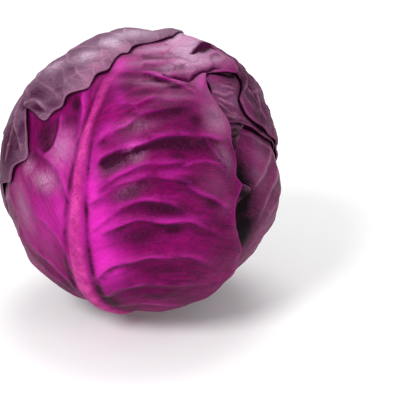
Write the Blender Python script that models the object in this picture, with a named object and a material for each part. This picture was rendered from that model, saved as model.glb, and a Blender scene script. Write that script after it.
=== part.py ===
"""A whole head of red cabbage, trimmed for the kitchen and standing on its cut stem.

Lengths are in metres and angles in degrees, with +Z up. The origin is the middle of the stem's
cut face, which rests on the surface. The broad front leaf with the pale midrib faces -Y.

A place on the head is given as (azimuth, latitude) seen from its middle: azimuth 0 is the
front, 90 the right-hand side, and latitude runs from -90 at the stem to 90 at the crown.
"""

import math
from dataclasses import dataclass

import bmesh
import bpy
import numpy as np
from mathutils import Vector
from mathutils.bvhtree import BVHTree

# Driving dimensions
HEAD_RADIUS = 0.0808
HEAD_HEIGHT = 0.0820
STEM_RADIUS = 0.0145
BLADE = 0.0011
LEAF_GAP = 0.0008

# Near the stem the outer leaves tuck in by this much, between these two latitudes
STEM_TUCK = 0.0060
STEM_TUCK_START = -58.0
STEM_TUCK_END = -82.0

# Heights and radii of the stem above its cut face
STEM_BEVEL = 0.0008
STEM_SWELL = 0.0008
STEM_SWELL_HEIGHT = 0.0045
STEM_NECK_HEIGHT = 0.0120
STEM_NECK_RADIUS = 0.0110
STEM_ROOT_HEIGHT = 0.0290
STEM_ROOT_RADIUS = 0.0070
STEM_SIDES = 28
STEM_CLEARANCE = 0.0003

# A leaf swells over one that it covers, and that swelling fades out past the covered margin
COVER_FULL = 3.0
COVER_FADE = 13.0

# The dense head sinks under each wrapper leaf, and rises again past that leaf's margin
SINK_FADE = 34.0

# A leaf's ribs and waves are pressed flat where another leaf covers it
PRESS_FULL = 2.0
PRESS_FADE = 7.0

# Flat facets cut below a curve, so each leaf is raised until this much air is left under it
SETTLED_GAP = 0.0004
SETTLE_PASSES = 8
PROBE_SHARES = (0.25, 0.5, 0.75)

# The dense head's own leaf margins, as low steps that spiral up to the crown
HEAD_SIDES = 24
HEAD_RINGS = 14
HEAD_STEP = 0.0009
HEAD_SPIRALS = 3
HEAD_STEP_PITCH = 150.0
HEAD_STEP_FULL = 62.0
HEAD_STEP_FADE = 80.0

# The raised midrib stops at this share of the leaf's length, and is that share as thick there
RIB_END = 0.92
RIB_THIN_END = 0.25

# Side veins of the plainer leaves leave the midrib between these shares of its length
LATERAL_START = 0.16
LATERAL_END = 0.78
LATERAL_RISE = 0.20
LATERAL_HALF_WIDTH = 0.0040
LATERAL_THIN_END = 0.4
LATERAL_POINTS = 10

# Waves along a leaf's margin, which die out away from it by this power of the share across
RUFFLES = 11
RUFFLE_LEAN = 2.0
RUFFLE_POWER = 6

# Points along a margin or a midrib, across a leaf's tip and base, and between two given places
PATH_SAMPLES = 60
TIP_POINTS = 9
BASE_POINTS = 7
CURVE_STEPS = 12

# The flat view of a leaf's outline is turned by this direction, and is cut off behind the head
VIEW_LEAN = (0.3, 0.5, 0.8)
LEAST_DEPTH = 1e-3
LEAST_RISE = 1e-12

MERGE_DISTANCE = 1e-6
SHARP_ANGLE = 50.0
LEAF_ROUGHNESS = 0.42
HEAD_ROUGHNESS = 0.45
STEM_ROUGHNESS = 0.7


@dataclass
class Ridge:
    """A raised line on a leaf, through places on the head, from its thick end to its thin end."""

    places: list
    half_width: float = 0.0042
    height: float = 0.0017
    thin_end: float = 0.65


@dataclass
class Lift:
    """A rise of the head or of one leaf that is full at a place and fades out by its reach."""

    place: tuple
    reach: float
    height: float


# The head isn't quite round: it bulges behind the crown, and more so at the upper right
SWELLS = (Lift((114, 45), 42.0, 0.0054), Lift((-170, 67), 52.0, 0.0028))


@dataclass
class Leaf:
    """A wrapper leaf. Its margins and its midrib run from the stem to the tip."""

    name: str
    colour: tuple
    left: list
    rib: list
    right: list
    rows: int
    columns: int
    rib_half_width: float = 0.0050
    rib_height: float = 0.0024
    column_crowding: float = 1.3
    laterals: int = 5
    lateral_height: float = 0.0011
    ruffle: float = 0.0005
    row_crowding: float = 1.0
    ridges: tuple = ()
    lifts: tuple = ()


PURPLE = (0.20, 0.03, 0.14)
DULL_PURPLE = (0.23, 0.07, 0.18)
MAGENTA = (0.42, 0.02, 0.27)
DUSTY_MAUVE = (0.26, 0.15, 0.24)
DARK_PURPLE = (0.10, 0.01, 0.08)
CREAM = (0.72, 0.62, 0.42)

FRONT_RIDGES = (
    Ridge([(-22, -34), (-8, -26), (12, -24), (28, -28)]),
    Ridge([(-22, -24), (-12, -14), (6, -11), (24, -14)]),
    Ridge([(-21, -10), (-14, -1), (-5, 3), (9, 3), (22, 2), (36, -4)]),
    Ridge([(-20, -2), (-12, 6), (-3, 11), (6, 11), (18, 7), (24, 0)]),
    Ridge([(-21, 9), (-11, 16), (1, 20), (11, 20), (19, 17), (28, 10), (37, 3)]),
    Ridge([(-19, 14), (-12, 19), (0, 24), (9, 26), (24, 24), (34, 21), (38, 15)]),
    Ridge([(-20, 24), (-12, 31), (1, 35), (15, 36), (29, 33), (43, 29)], height=0.0021),
    Ridge([(-21, 31), (-12, 39), (1, 46), (12, 49), (26, 48), (38, 47)], height=0.0020),
    Ridge([(-20, 47), (-12, 53), (4, 56), (22, 54), (35, 49)]),
    Ridge([(-22, 62), (1, 62), (21, 58), (34, 51), (40, 45)], height=0.0020),
    Ridge([(-18, 66), (10, 66), (30, 62), (50, 60), (68, 58), (84, 54)], 0.0046, 0.0024, 1.0),
    Ridge([(2, 73), (30, 73), (60, 69), (92, 66), (112, 58)], 0.0046, 0.0016, 1.0),
    Ridge([(-34, -40), (-31, -16), (-35, -6), (-47, 0), (-57, 10), (-61, 14)], height=0.0015),
    Ridge([(-38, -44), (-38, -27), (-50, -18), (-59, -5), (-62, 2)], height=0.0015),
    Ridge([(-27, 2), (-30, 15), (-41, 22), (-54, 25)], height=0.0013),
    Ridge([(-28, 26), (-31, 42), (-38, 52), (-44, 58)], height=0.0017),
    Ridge([(-46, 20), (-41, 30), (-44, 40), (-50, 46)], height=0.0015),
)

RIGHT_RIDGES = (
    Ridge([(58, 33), (64, 29), (69, 25), (74, 20), (78, 13)], 0.0034, 0.0018, 0.8),
    Ridge([(92, 20), (76, 14), (62, 11), (50, 6)]),
    Ridge([(84, 10), (70, 6), (59, 1), (52, -8)]),
    Ridge([(48, 27), (55, 24), (62, 19), (68, 12)], 0.0030, 0.0009),
    Ridge([(88, -6), (74, -10), (62, -18), (56, -30)]),
)

SHOULDER_RIDGES = (
    Ridge([(58, 56), (70, 54), (84, 46)], 0.0028, 0.0012, 0.8),
    Ridge([(52, 54), (60, 48), (72, 42)], 0.0028, 0.0012, 0.8),
    Ridge([(48, 49), (54, 44), (60, 37)], 0.0028, 0.0011, 0.8),
)

FAR_RIGHT_RIDGES = (
    Ridge([(71, 40), (78, 34), (72, 30)], 0.0026, 0.0014, 0.9),
    Ridge([(100, 40), (88, 34), (74, 29)], 0.0030, 0.0016, 0.9),
    Ridge([(110, 30), (92, 28), (80, 24)], 0.0030, 0.0016, 0.9),
    Ridge([(112, 48), (96, 44), (84, 40)], 0.0030, 0.0012, 0.9),
)

# In the order in which they wrap the head, innermost first
LEAVES = (
    Leaf(
        "leaf_right",
        PURPLE,
        left=[(36, -77), (18, -50), (14, -10), (18, 25), (36, 52), (80, 68)],
        rib=[(66, -77), (84, -52), (96, -20), (102, 5), (108, 30), (112, 60)],
        right=[(92, -77), (122, -50), (134, -10), (138, 20), (142, 44), (142, 62)],
        rows=20,
        columns=14,
        laterals=0,
        ridges=RIGHT_RIDGES,
        lifts=(Lift((72, 0), 30.0, 0.0022),),
    ),
    Leaf(
        "leaf_inner_front",
        PURPLE,
        left=[(-4, -77), (-26, -50), (-34, -10), (-30, 20), (-16, 38)],
        rib=[(14, -77), (12, -50), (10, -15), (12, 15), (20, 42)],
        right=[
            (32, -77), (42, -50), (47, -22), (43, -4), (42, 3), (48, 6), (49, 8), (44, 12),
            (43, 19), (46, 23), (51, 27), (54, 29), (60, 30), (59, 33), (50, 35), (44, 42),
        ],
        rows=26,
        columns=10,
        laterals=0,
        lifts=(Lift((49, 7), 8.0, 0.0020), Lift((57, 31), 8.0, 0.0022)),
    ),
    Leaf(
        "leaf_back",
        PURPLE,
        left=[(154, -77), (128, -50), (114, -10), (112, 25), (120, 55), (150, 74)],
        rib=[(172, -77), (174, -45), (176, -10), (176, 25), (178, 55), (-170, 80)],
        right=[(-170, -77), (-146, -50), (-132, -10), (-130, 25), (-136, 55), (-150, 76)],
        rows=16,
        columns=10,
        laterals=0,
    ),
    Leaf(
        "leaf_shoulder",
        DULL_PURPLE,
        left=[
            (122, -77), (116, -54), (110, -22), (102, 0), (88, 12), (76, 20), (66, 28),
            (58, 33), (49, 36), (44, 40), (42, 46),
        ],
        rib=[(138, -77), (146, -50), (148, -15), (138, 18), (108, 38), (76, 48), (56, 52)],
        right=[(152, -77), (172, -50), (176, -10), (168, 30), (150, 58), (90, 68), (50, 62)],
        rows=24,
        columns=12,
        rib_half_width=0.0042,
        laterals=0,
        ridges=SHOULDER_RIDGES,
    ),
    Leaf(
        "leaf_far_right",
        DULL_PURPLE,
        left=[
            (92, -77), (100, -54), (106, -30), (104, -8), (92, 8), (80, 19), (72, 26), (66, 31),
            (64, 36), (68, 40), (78, 42), (86, 44), (92, 50), (108, 58),
        ],
        rib=[(108, -77), (124, -50), (132, -15), (130, 16), (122, 40), (124, 58), (136, 74)],
        right=[(126, -77), (148, -50), (158, -15), (164, 20), (172, 52), (-170, 72)],
        rows=28,
        columns=12,
        laterals=0,
        ridges=FAR_RIGHT_RIDGES,
        lifts=(Lift((72, 30), 12.0, 0.0012), Lift((100, -6), 16.0, 0.0014)),
    ),
    Leaf(
        "leaf_left",
        PURPLE,
        left=[(-118, -77), (-142, -52), (-150, -20), (-146, 14), (-130, 40)],
        rib=[(-98, -77), (-100, -50), (-102, -20), (-104, 14), (-104, 46)],
        right=[(-78, -77), (-58, -52), (-52, -20), (-54, 12), (-76, 40)],
        rows=18,
        columns=10,
    ),
    Leaf(
        "leaf_front",
        MAGENTA,
        left=[
            (-44, -77), (-66, -54), (-70, -34), (-64, -20), (-62, -12), (-64, -4), (-72, 8),
            (-88, 24), (-104, 44), (-120, 62), (-170, 78), (144, 66),
        ],
        rib=[
            (-10, -77), (-17, -64), (-25, -52), (-27, -36), (-27, -10), (-26, 10), (-25, 34),
            (-25, 52), (-24, 62), (-18, 71), (6, 79), (70, 77), (124, 63),
        ],
        right=[
            (20, -77), (40, -60), (49, -40), (46, -20), (39, -4), (39, 5), (42, 11), (41, 15),
            (44, 20), (44, 28), (47, 35), (46, 43), (49, 50), (55, 56), (64, 57), (74, 53), (84, 48), (100, 50),
        ],
        rows=72,
        columns=22,
        rib_half_width=0.0052,
        rib_height=0.0038,
        column_crowding=1.45,
        laterals=0,
        ridges=FRONT_RIDGES,
        lifts=(Lift((46, 8), 15.0, 0.0026), Lift((48, 30), 12.0, 0.0018), Lift((84, 54), 14.0, 0.0016)),
    ),
    Leaf(
        "leaf_crown",
        DUSTY_MAUVE,
        left=[(-158, -77), (176, -52), (164, -20), (158, 16), (150, 46), (138, 64)],
        rib=[(-140, -77), (-137, -50), (-134, -15), (-136, 22), (-146, 54), (178, 76), (128, 71)],
        right=[
            (-120, -77), (-104, -52), (-92, -24), (-80, -2), (-69, 5), (-64, 7), (-62, 14), (-55, 20),
            (-57, 25), (-60, 29), (-65, 33), (-72, 36), (-63, 37), (-54, 36), (-51, 41), (-46, 44),
            (-47, 49), (-37, 54), (-36, 57), (-36, 61), (-28, 64), (-28, 67), (-30, 72), (-27, 76),
            (-18, 77), (-17, 82), (-6, 86), (80, 88), (114, 84), (118, 79), (120, 74),
        ],
        rows=56,
        columns=12,
        laterals=6,
        lateral_height=0.0009,
        row_crowding=0.72,
        lifts=(Lift((-66, 34), 10.0, 0.0012),),
    ),
)


def directions(places):
    """Unit vectors from the middle of the head towards (azimuth, latitude) places."""
    azimuth, latitude = np.radians(np.asarray(places, float)).T
    across = np.cos(latitude)
    return np.stack([across * np.sin(azimuth), -across * np.cos(azimuth), np.sin(latitude)], axis=1)


def unit(vectors):
    return vectors / np.linalg.norm(vectors, axis=-1, keepdims=True)


def smooth_path(places, count=PATH_SAMPLES):
    """A smooth curve through places on the head, as unit vectors evenly spaced along it."""
    knots = directions(places)
    knots = np.vstack([2 * knots[0] - knots[1], knots, 2 * knots[-1] - knots[-2]])
    fine = []
    for a, b, c, d in zip(knots, knots[1:], knots[2:], knots[3:]):
        for s in np.linspace(0, 1, CURVE_STEPS, endpoint=False):
            bend = (2 * a - 5 * b + 4 * c - d) * s**2 + (3 * b - a - 3 * c + d) * s**3
            fine.append(b + 0.5 * ((c - a) * s + bend))
    fine = unit(np.array(fine + [knots[-2]]))
    steps = np.linalg.norm(np.diff(fine, axis=0), axis=1)
    length = np.concatenate([[0], np.cumsum(steps)])
    wanted = np.linspace(0, length[-1], count)
    return unit(np.stack([np.interp(wanted, length, fine[:, k]) for k in range(3)], axis=1))


def nearest_on_path(points, path):
    """Each direction's distance to a path, in degrees, and the share of the path at which it is."""
    best = np.full(len(points), np.inf)
    along = np.zeros(len(points))
    for k, (start, end) in enumerate(zip(path, path[1:])):
        step = end - start
        share = np.clip((points - start) @ step / (step @ step), 0, 1)
        gap = np.linalg.norm(points - start - share[:, None] * step, axis=1)
        closer = gap < best
        best = np.where(closer, gap, best)
        along = np.where(closer, (k + share) / (len(path) - 1), along)
    return np.degrees(best), along


def over_leaf(left, rib, right, across):
    """Directions across a leaf, from the left margin (-1) over the midrib (0) to the right one (1)."""
    x = across[:, None]
    return unit(left * x * (x - 1) / 2 + rib * (1 - x * x) + right * x * (x + 1) / 2)


def outline(leaf):
    """The closed line round a leaf: up its left margin, over the tip and down the right one."""
    left, rib, right = (smooth_path(path) for path in (leaf.left, leaf.rib, leaf.right))
    tip = over_leaf(left[-1], rib[-1], right[-1], np.linspace(-1, 1, TIP_POINTS)[1:-1])
    base = over_leaf(left[0], rib[0], right[0], np.linspace(1, -1, BASE_POINTS)[1:])
    return np.vstack([left, tip, right[::-1], base])


def past_margin(points, loop):
    """Degrees by which each direction lies outside a leaf's outline, negative inside it."""
    distance, _ = nearest_on_path(points, loop)
    centre = unit(loop.mean(axis=0))
    east = unit(np.cross(centre, VIEW_LEAN))
    north = np.cross(centre, east)

    def flattened(vectors):
        depth = np.maximum(1 + vectors @ centre, LEAST_DEPTH)
        return vectors @ east / depth, vectors @ north / depth

    px, py = flattened(points)
    qx, qy = flattened(loop)
    inside = np.zeros(len(points), bool)
    for x0, y0, x1, y1 in zip(qx, qy, qx[1:], qy[1:]):
        crosses = (y0 > py) != (y1 > py)
        rise = y1 - y0 if y1 != y0 else LEAST_RISE
        inside ^= crosses & (px < (x1 - x0) * (py - y0) / rise + x0)
    return np.where(inside, -distance, distance)


def fade(value, full, none):
    """1 up to full, 0 from none on, and a smooth step between them."""
    share = np.clip((value - full) / (none - full), 0, 1)
    return 1 - share * share * (3 - 2 * share)


OUTLINES = {leaf.name: outline(leaf) for leaf in LEAVES}


def latitude_of(points):
    return np.degrees(np.arcsin(np.clip(points[:, 2], -1, 1)))


def raised_by(lifts, points):
    """How far these lifts raise each direction in all."""
    height = np.zeros(len(points))
    for lift in lifts:
        distance = np.degrees(np.arccos(np.clip(points @ directions([lift.place])[0], -1, 1)))
        height = height + lift.height * fade(distance, 0, lift.reach)
    return height


def dense_head_radius(points):
    """Radius of the dense head: the head's outside less the wrapper leaves that lie over it."""
    tuck = 1 - fade(-latitude_of(points), -STEM_TUCK_START, -STEM_TUCK_END)
    radius = HEAD_RADIUS + raised_by(SWELLS, points) - STEM_TUCK * tuck
    for leaf in LEAVES:
        covered = fade(past_margin(points, OUTLINES[leaf.name]), 0, SINK_FADE)
        radius = radius - (BLADE + LEAF_GAP) * covered
    return radius


def lying_radius(points, layer):
    """Radius at which the underside of the leaf in this layer lies on what is beneath it."""
    radius = dense_head_radius(points) + LEAF_GAP
    for leaf in LEAVES[:layer]:
        covered = fade(past_margin(points, OUTLINES[leaf.name]), COVER_FULL, COVER_FADE)
        radius = radius + (BLADE + LEAF_GAP) * covered
    return radius


def free_share(points, layer):
    """1 where no leaf covers this one, and 0 where one presses it flat."""
    share = np.ones(len(points))
    for leaf in LEAVES[layer + 1 :]:
        covered = fade(past_margin(points, OUTLINES[leaf.name]), PRESS_FULL, PRESS_FADE)
        share = share * (1 - covered)
    return share


def ridge_rise(points, path, half_width, height, thin_end):
    """Height of a rounded ridge that thins along its path and dies out at the far end."""
    distance, along = nearest_on_path(points, path)
    size = 1 - (1 - thin_end) * along
    off = np.radians(distance) * HEAD_RADIUS / (half_width * size)
    return height * size * np.exp(-off * off)


def lateral_paths(leaf):
    """Side veins that leave the midrib by turns, and rise towards the margins."""
    rib = smooth_path(leaf.rib)
    shares = np.linspace(0, 1, LATERAL_POINTS)
    for side, margin in enumerate((smooth_path(leaf.left), smooth_path(leaf.right))):
        for k in range(leaf.laterals):
            place = (k + (1 + 2 * side) / 4) / leaf.laterals
            start = LATERAL_START + (LATERAL_END - LATERAL_START) * place
            rows = ((start + LATERAL_RISE * shares) * (PATH_SAMPLES - 1)).astype(int)
            yield over_leaf(rib[rows], rib[rows], margin[rows], shares)[:-1]


def relief(leaf, points):
    """How far the outside of a leaf rises over its blade: midrib, side veins and its own ridges."""
    rib = smooth_path(leaf.rib)[: int(RIB_END * PATH_SAMPLES)]
    rises = [ridge_rise(points, rib, leaf.rib_half_width, leaf.rib_height, RIB_THIN_END)]
    for path in lateral_paths(leaf):
        rises.append(ridge_rise(points, path, LATERAL_HALF_WIDTH, leaf.lateral_height, LATERAL_THIN_END))
    for ridge in leaf.ridges:
        path = smooth_path(ridge.places)
        rises.append(ridge_rise(points, path, ridge.half_width, ridge.height, ridge.thin_end))
    return np.max(rises, axis=0)


def standing_off(leaf, points, across, along):
    """How far a leaf stands off what it lies on, at its waved margins and its lifted stretches."""
    wave = 1 + np.sin(math.tau * RUFFLES * along + RUFFLE_LEAN * across)
    return leaf.ruffle * wave * np.abs(across) ** RUFFLE_POWER + raised_by(leaf.lifts, points)


class Outside:
    """The outer faces of the pieces placed so far, seen from the middle of the head."""

    def __init__(self):
        self.places = []
        self.faces = []
        self.peaks = []

    def add(self, places, faces):
        start = len(self.places)
        self.places.extend(places.tolist())
        self.faces.extend([[start + corner for corner in face] for face in faces])
        self.peaks.extend(Vector(place) for place in places)
        for a, b in {tuple(sorted(pair)) for face in faces for pair in zip(face, face[1:] + face[:1])}:
            self.peaks.extend(Vector(places[a] + (places[b] - places[a]) * share) for share in PROBE_SHARES)

    def settle(self, points, radius, faces):
        """Raises a new underside, given as directions and radii, until it clears all beneath it."""
        beneath = BVHTree.FromPolygons(self.places, self.faces)
        for k, point in enumerate(points):
            hit = beneath.ray_cast(Vector(point * 2 * HEAD_RADIUS), Vector(-point))[0]
            if hit:
                radius[k] = max(radius[k], hit.length + SETTLED_GAP)
        for _ in range(SETTLE_PASSES):
            underside = BVHTree.FromPolygons((points * radius[:, None]).tolist(), faces)
            missing = np.zeros(len(points))
            for peak in self.peaks:
                hit, _, face, _ = underside.ray_cast(Vector(), peak.normalized())
                if hit:
                    corners = faces[face]
                    short = peak.length + SETTLED_GAP - hit.length
                    missing[corners] = np.maximum(missing[corners], short)
            radius = radius + missing
        return radius


def corners_of(faces):
    return [[corner.index for corner in face.verts] for face in faces]


def build_leaf(layer, leaf, outsides):
    """One leaf: a flat grid laid on what is beneath it, and its copy raised by blade and ribs."""
    sheet = bmesh.new()
    grid_place = sheet.verts.layers.int.new("grid_place")
    bmesh.ops.create_grid(sheet, x_segments=leaf.columns, y_segments=leaf.rows, size=1)
    bmesh.ops.triangulate(sheet, faces=sheet.faces[:])
    sheet.verts.index_update()

    flat = np.array([vertex.co[:] for vertex in sheet.verts])
    across = np.sign(flat[:, 0]) * np.abs(flat[:, 0]) ** leaf.column_crowding
    along = ((flat[:, 1] + 1) / 2) ** leaf.row_crowding
    paths = (smooth_path(path, 10 * leaf.rows + 1) for path in (leaf.left, leaf.rib, leaf.right))
    row = np.rint(10 * leaf.rows * along).astype(int)
    points = over_leaf(*(path[row] for path in paths), across)

    free = free_share(points, layer)
    under = lying_radius(points, layer) + standing_off(leaf, points, across, along) * free
    under = outsides.settle(points, under, corners_of(sheet.faces))
    over = under + BLADE + relief(leaf, points) * free
    inner = points * under[:, None]
    outer = points * over[:, None]
    outsides.add(outer, corners_of(sheet.faces))

    for vertex in sheet.verts:
        vertex[grid_place] = vertex.index
        vertex.co = inner[vertex.index]
    raised = bmesh.ops.extrude_face_region(sheet, geom=sheet.faces[:], use_keep_orig=True)
    for item in raised["geom"]:
        if isinstance(item, bmesh.types.BMVert):
            item.co = outer[item[grid_place]]
    bmesh.ops.recalc_face_normals(sheet, faces=sheet.faces[:])
    bmesh.ops.translate(sheet, verts=sheet.verts[:], vec=(0, 0, HEAD_HEIGHT))
    return finish(leaf.name, sheet, leaf.colour, LEAF_ROUGHNESS)


def build_dense_head(outsides):
    """The tightly packed inner leaves as one body, open below for the stem's root."""
    ball = bmesh.new()
    bmesh.ops.create_uvsphere(ball, u_segments=HEAD_SIDES, v_segments=HEAD_RINGS, radius=1)
    bmesh.ops.triangulate(ball, faces=ball.faces[:])
    ball.verts.index_update()
    points = unit(np.array([vertex.co[:] for vertex in ball.verts]))
    azimuth = np.degrees(np.arctan2(points[:, 0], -points[:, 1]))
    latitude = latitude_of(points)
    turn = np.mod(azimuth * HEAD_SPIRALS / 360 + latitude / HEAD_STEP_PITCH, 1)
    step = HEAD_STEP * turn * fade(np.abs(latitude), HEAD_STEP_FULL, HEAD_STEP_FADE)
    placed = points * (dense_head_radius(points) - step)[:, None]
    outsides.add(placed, corners_of(ball.faces))
    for vertex in ball.verts:
        vertex.co = placed[vertex.index]
    bmesh.ops.translate(ball, verts=ball.verts[:], vec=(0, 0, HEAD_HEIGHT))
    bmesh.ops.recalc_face_normals(ball, faces=ball.faces[:])
    head = finish("dense_head", ball, DARK_PURPLE, HEAD_ROUGHNESS)
    cut_stem_socket(head)
    return head


def stem_profile(grow=0.0):
    """The stem's outer side from its cut face to its root, as (radius, height) pairs."""
    return [
        (STEM_RADIUS - STEM_BEVEL + grow, -grow),
        (STEM_RADIUS + grow, STEM_BEVEL - grow),
        (STEM_RADIUS + STEM_SWELL + grow, STEM_SWELL_HEIGHT),
        (STEM_NECK_RADIUS + grow, STEM_NECK_HEIGHT),
        (STEM_ROOT_RADIUS + grow, STEM_ROOT_HEIGHT + grow),
    ]


def turned(profile):
    """A solid of revolution about the Z axis, closed by flat ends."""
    body = bmesh.new()
    low = body.verts.new((0, 0, profile[0][1]))
    high = body.verts.new((0, 0, profile[-1][1]))
    line = [low] + [body.verts.new((radius, 0, height)) for radius, height in profile] + [high]
    edges = [body.edges.new(pair) for pair in zip(line, line[1:])]
    bmesh.ops.spin(
        body,
        geom=line + edges,
        axis=(0, 0, 1),
        cent=(0, 0, 0),
        steps=STEM_SIDES,
        angle=math.tau,
        use_merge=True,
    )
    bmesh.ops.remove_doubles(body, verts=body.verts[:], dist=MERGE_DISTANCE)
    bmesh.ops.recalc_face_normals(body, faces=body.faces[:])
    return body


def build_stem():
    return finish("stem", turned(stem_profile()), CREAM, STEM_ROUGHNESS)


def cut_stem_socket(head):
    """Opens the socket in which the stem's root sits."""
    cutter = finish("stem_socket_cutter", turned(stem_profile(STEM_CLEARANCE)), CREAM, STEM_ROUGHNESS)
    cutter.hide_render = True
    cutter.display_type = "WIRE"
    socket = head.modifiers.new("stem_socket", "BOOLEAN")
    socket.operation = "DIFFERENCE"
    socket.object = cutter


def finish(name, shape, colour, roughness):
    """Makes a named, smooth-shaded object with its own material."""
    mesh = bpy.data.meshes.new(name)
    shape.to_mesh(mesh)
    shape.free()
    mesh.shade_smooth()
    mesh.set_sharp_from_angle(angle=math.radians(SHARP_ANGLE))
    material = bpy.data.materials.new(name)
    material.use_nodes = True
    shader = material.node_tree.nodes["Principled BSDF"]
    shader.inputs["Base Color"].default_value = (*colour, 1)
    shader.inputs["Roughness"].default_value = roughness
    shader.inputs["Metallic"].default_value = 0
    mesh.materials.append(material)
    body = bpy.data.objects.new(name, mesh)
    bpy.context.scene.collection.objects.link(body)
    return body


def main():
    for old in list(bpy.data.objects):
        bpy.data.objects.remove(old)
    outsides = Outside()
    build_stem()
    build_dense_head(outsides)
    for layer, leaf in enumerate(LEAVES):
        build_leaf(layer, leaf, outsides)


main()
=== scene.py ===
"""The looks of a whole head of red cabbage that stands on its cut stem.

Lengths are in metres and angles in degrees unless a comment says otherwise, with +Z up. A place
on the head is (azimuth, latitude) seen from its middle: azimuth 0 is the front, towards -Y, and
90 the right-hand side, and latitude runs from -90 at the stem to 90 at the crown.
"""

import math
from dataclasses import dataclass, field

import bmesh
import bpy
import numpy as np
from mathutils import Matrix, Vector, noise


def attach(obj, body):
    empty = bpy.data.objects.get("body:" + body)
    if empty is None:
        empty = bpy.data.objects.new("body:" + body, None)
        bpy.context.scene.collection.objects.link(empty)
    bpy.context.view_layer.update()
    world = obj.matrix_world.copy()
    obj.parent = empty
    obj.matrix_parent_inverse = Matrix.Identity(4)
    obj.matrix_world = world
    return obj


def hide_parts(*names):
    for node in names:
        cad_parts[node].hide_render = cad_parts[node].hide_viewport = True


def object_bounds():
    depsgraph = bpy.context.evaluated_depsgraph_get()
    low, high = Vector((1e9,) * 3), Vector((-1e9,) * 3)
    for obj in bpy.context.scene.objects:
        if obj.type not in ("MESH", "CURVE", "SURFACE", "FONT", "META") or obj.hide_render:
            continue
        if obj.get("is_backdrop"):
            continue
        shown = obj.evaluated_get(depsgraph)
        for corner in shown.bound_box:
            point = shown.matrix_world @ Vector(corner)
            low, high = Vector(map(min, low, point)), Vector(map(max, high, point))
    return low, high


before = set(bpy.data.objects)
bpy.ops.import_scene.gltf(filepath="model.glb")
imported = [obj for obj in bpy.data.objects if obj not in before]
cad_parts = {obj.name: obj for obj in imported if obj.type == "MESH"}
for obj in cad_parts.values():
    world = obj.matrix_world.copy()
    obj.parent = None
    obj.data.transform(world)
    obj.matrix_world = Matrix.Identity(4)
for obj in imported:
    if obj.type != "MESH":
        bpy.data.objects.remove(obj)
cad_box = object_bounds()

# Driving dimensions of the head. A fine blade and the air under it fill the pitch of one layer
HEAD_RADIUS = 0.0808
HEAD_HEIGHT = 0.0820
BLADE = 0.0007
LEAF_GAP = 0.0012
MM = 0.001

# Near the stem the outer leaves tuck in by this much, between these two latitudes
STEM_TUCK = 0.0060
STEM_TUCK_START = -58.0
STEM_TUCK_END = -82.0

# How a leaf swells over one that it covers, how the dense head sinks under a leaf, and how the
# ribs are pressed flat under the next leaf, all in degrees past a leaf's margin
COVER_FULL = 3.0
COVER_FADE = 13.0
SINK_FADE = 34.0
PRESS_FULL = 1.0
PRESS_FADE = 4.5

# The painted shadow along a covering leaf's margin, on the leaf beneath: its half-width in
# degrees and how dark it is
SEAM_SHADOW = 0.9
SEAM_SHADOW_SHARE = 1.4

# Path samples of margins and midribs, and of the short ridges
MARGIN_SAMPLES = 60
RIDGE_SAMPLES = 22

# A ridge raises or colours the leaf no further off than this
RIDGE_MARGIN = 0.014

# Ridges waver by this much, over bends about this long. The noise that they waver by starts from
# the clock unless it is given a seed
WOBBLE = 0.0014
WOBBLE_PITCH = 0.011
WOBBLE_SEED = 3

# A leaf's side margins wave this often along it, by up to twice the height, and are ragged by a
# share of its half-width
RUFFLES = 11
RUFFLE_HEIGHT = 0.0005
RUFFLE_SLANT = 2
RUFFLE_POWER = 8
RAGGEDNESS = 0.006
RAGS_ALONG = 40
RAG_POWER = 4

# Close to its margin a blade is drawn down by this much, over the first share of its half-width,
# and has a pale rim over the second
MARGIN_PRESS = 0.0009
MARGIN_SHARE = 0.05
MARGIN_LINE = 0.012

# A leaf's outside dips by no more than this, and its inside follows a dip past the second
DEEPEST_DENT = 0.0006
UNDERSIDE_CLEAR = 0.0003

# Across the midrib, in its half-widths: where its rise and its colour fade out, and its furrow
RIB_RISE = (0.25, 1.35)
RIB_COLOUR = (0.5, 1.2)
RIB_FURROW_AT = 1.6
RIB_FURROW_WIDTH = 0.4
RIB_FURROW_DEPTH = 0.16

# The midrib pales between these shares of its length to so much of its colour
RIB_PALES = (0.60, 0.76)
RIB_PALE = 0.15

# Side veins of the plainer leaves leave the midrib between these shares of its length
LATERAL_START = 0.10
LATERAL_END = 0.80
LATERAL_RISE = 0.22
LATERAL_CURVE = 1.4

# A ridge swells up over the first share of its length and thins out after the second, and its
# gash thins out after the third
RIDGE_SWELLS = 0.10
RIDGE_THINS = 0.82
GASH_THINS = 0.88

# Across a ridge, in half-widths of its lower side: its furrow and its painted shade. The painted
# light on its upper side reaches this many half-widths of that side
FURROW_AT = 2.3
FURROW_WIDTH = 1.2
SHADE_WIDTH = 2.6
SLOPE_WIDTH = 0.75

# Across a ridge, in millimetres: how far the painted light on its upper side runs over the top,
# how far below the top its bright crest and below its foot its gash lie, and how wide these and
# the start of the painted shade are
SLOPE_END = 0.5
CREST_AT = 0.3
GASH_AT = 0.6
LINE_WIDTH = 0.9

# How dark a ridge's painted shade is: without a furrow, at most and in a gash. Beside the midrib
# the painted shade is this dark, and the painted light on an upper side clears away so much of it
SHADE_LEAST = 0.4
SHADE_MOST = 1.2
GASH_SHADE = 1.5
RIB_SHADE = 0.9
SLOPE_CLEARS = 0.6

# The front leaf's side veins leave the midrib at this azimuth, arch up by so many degrees over
# this span on its right and fall away on its left
FRONT_RIB_AZIMUTH = -27.0
FRONT_SPAN = 72.0
FRONT_ARCH = 13.0
FRONT_FALL = 1.1

# A plainer leaf's half-width and length, for the pattern that follows its veins
PLAIN_HALF_WIDTH = 0.06
PLAIN_LENGTH = 0.2

# How far apart the leaves lie in the noise, so that no two have the same dents
LAYER_SHIFT = 11.0
DENT_SHIFT = 7

# Creases are the lines where noise crosses zero, thinner as this is larger
CREASE_THINNESS = 3.2

# Margins are sampled this often for each row of a leaf's grid, and a mask is no stronger than this
SAMPLES_A_ROW = 10
STRONGEST_MASK = 1.5

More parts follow.
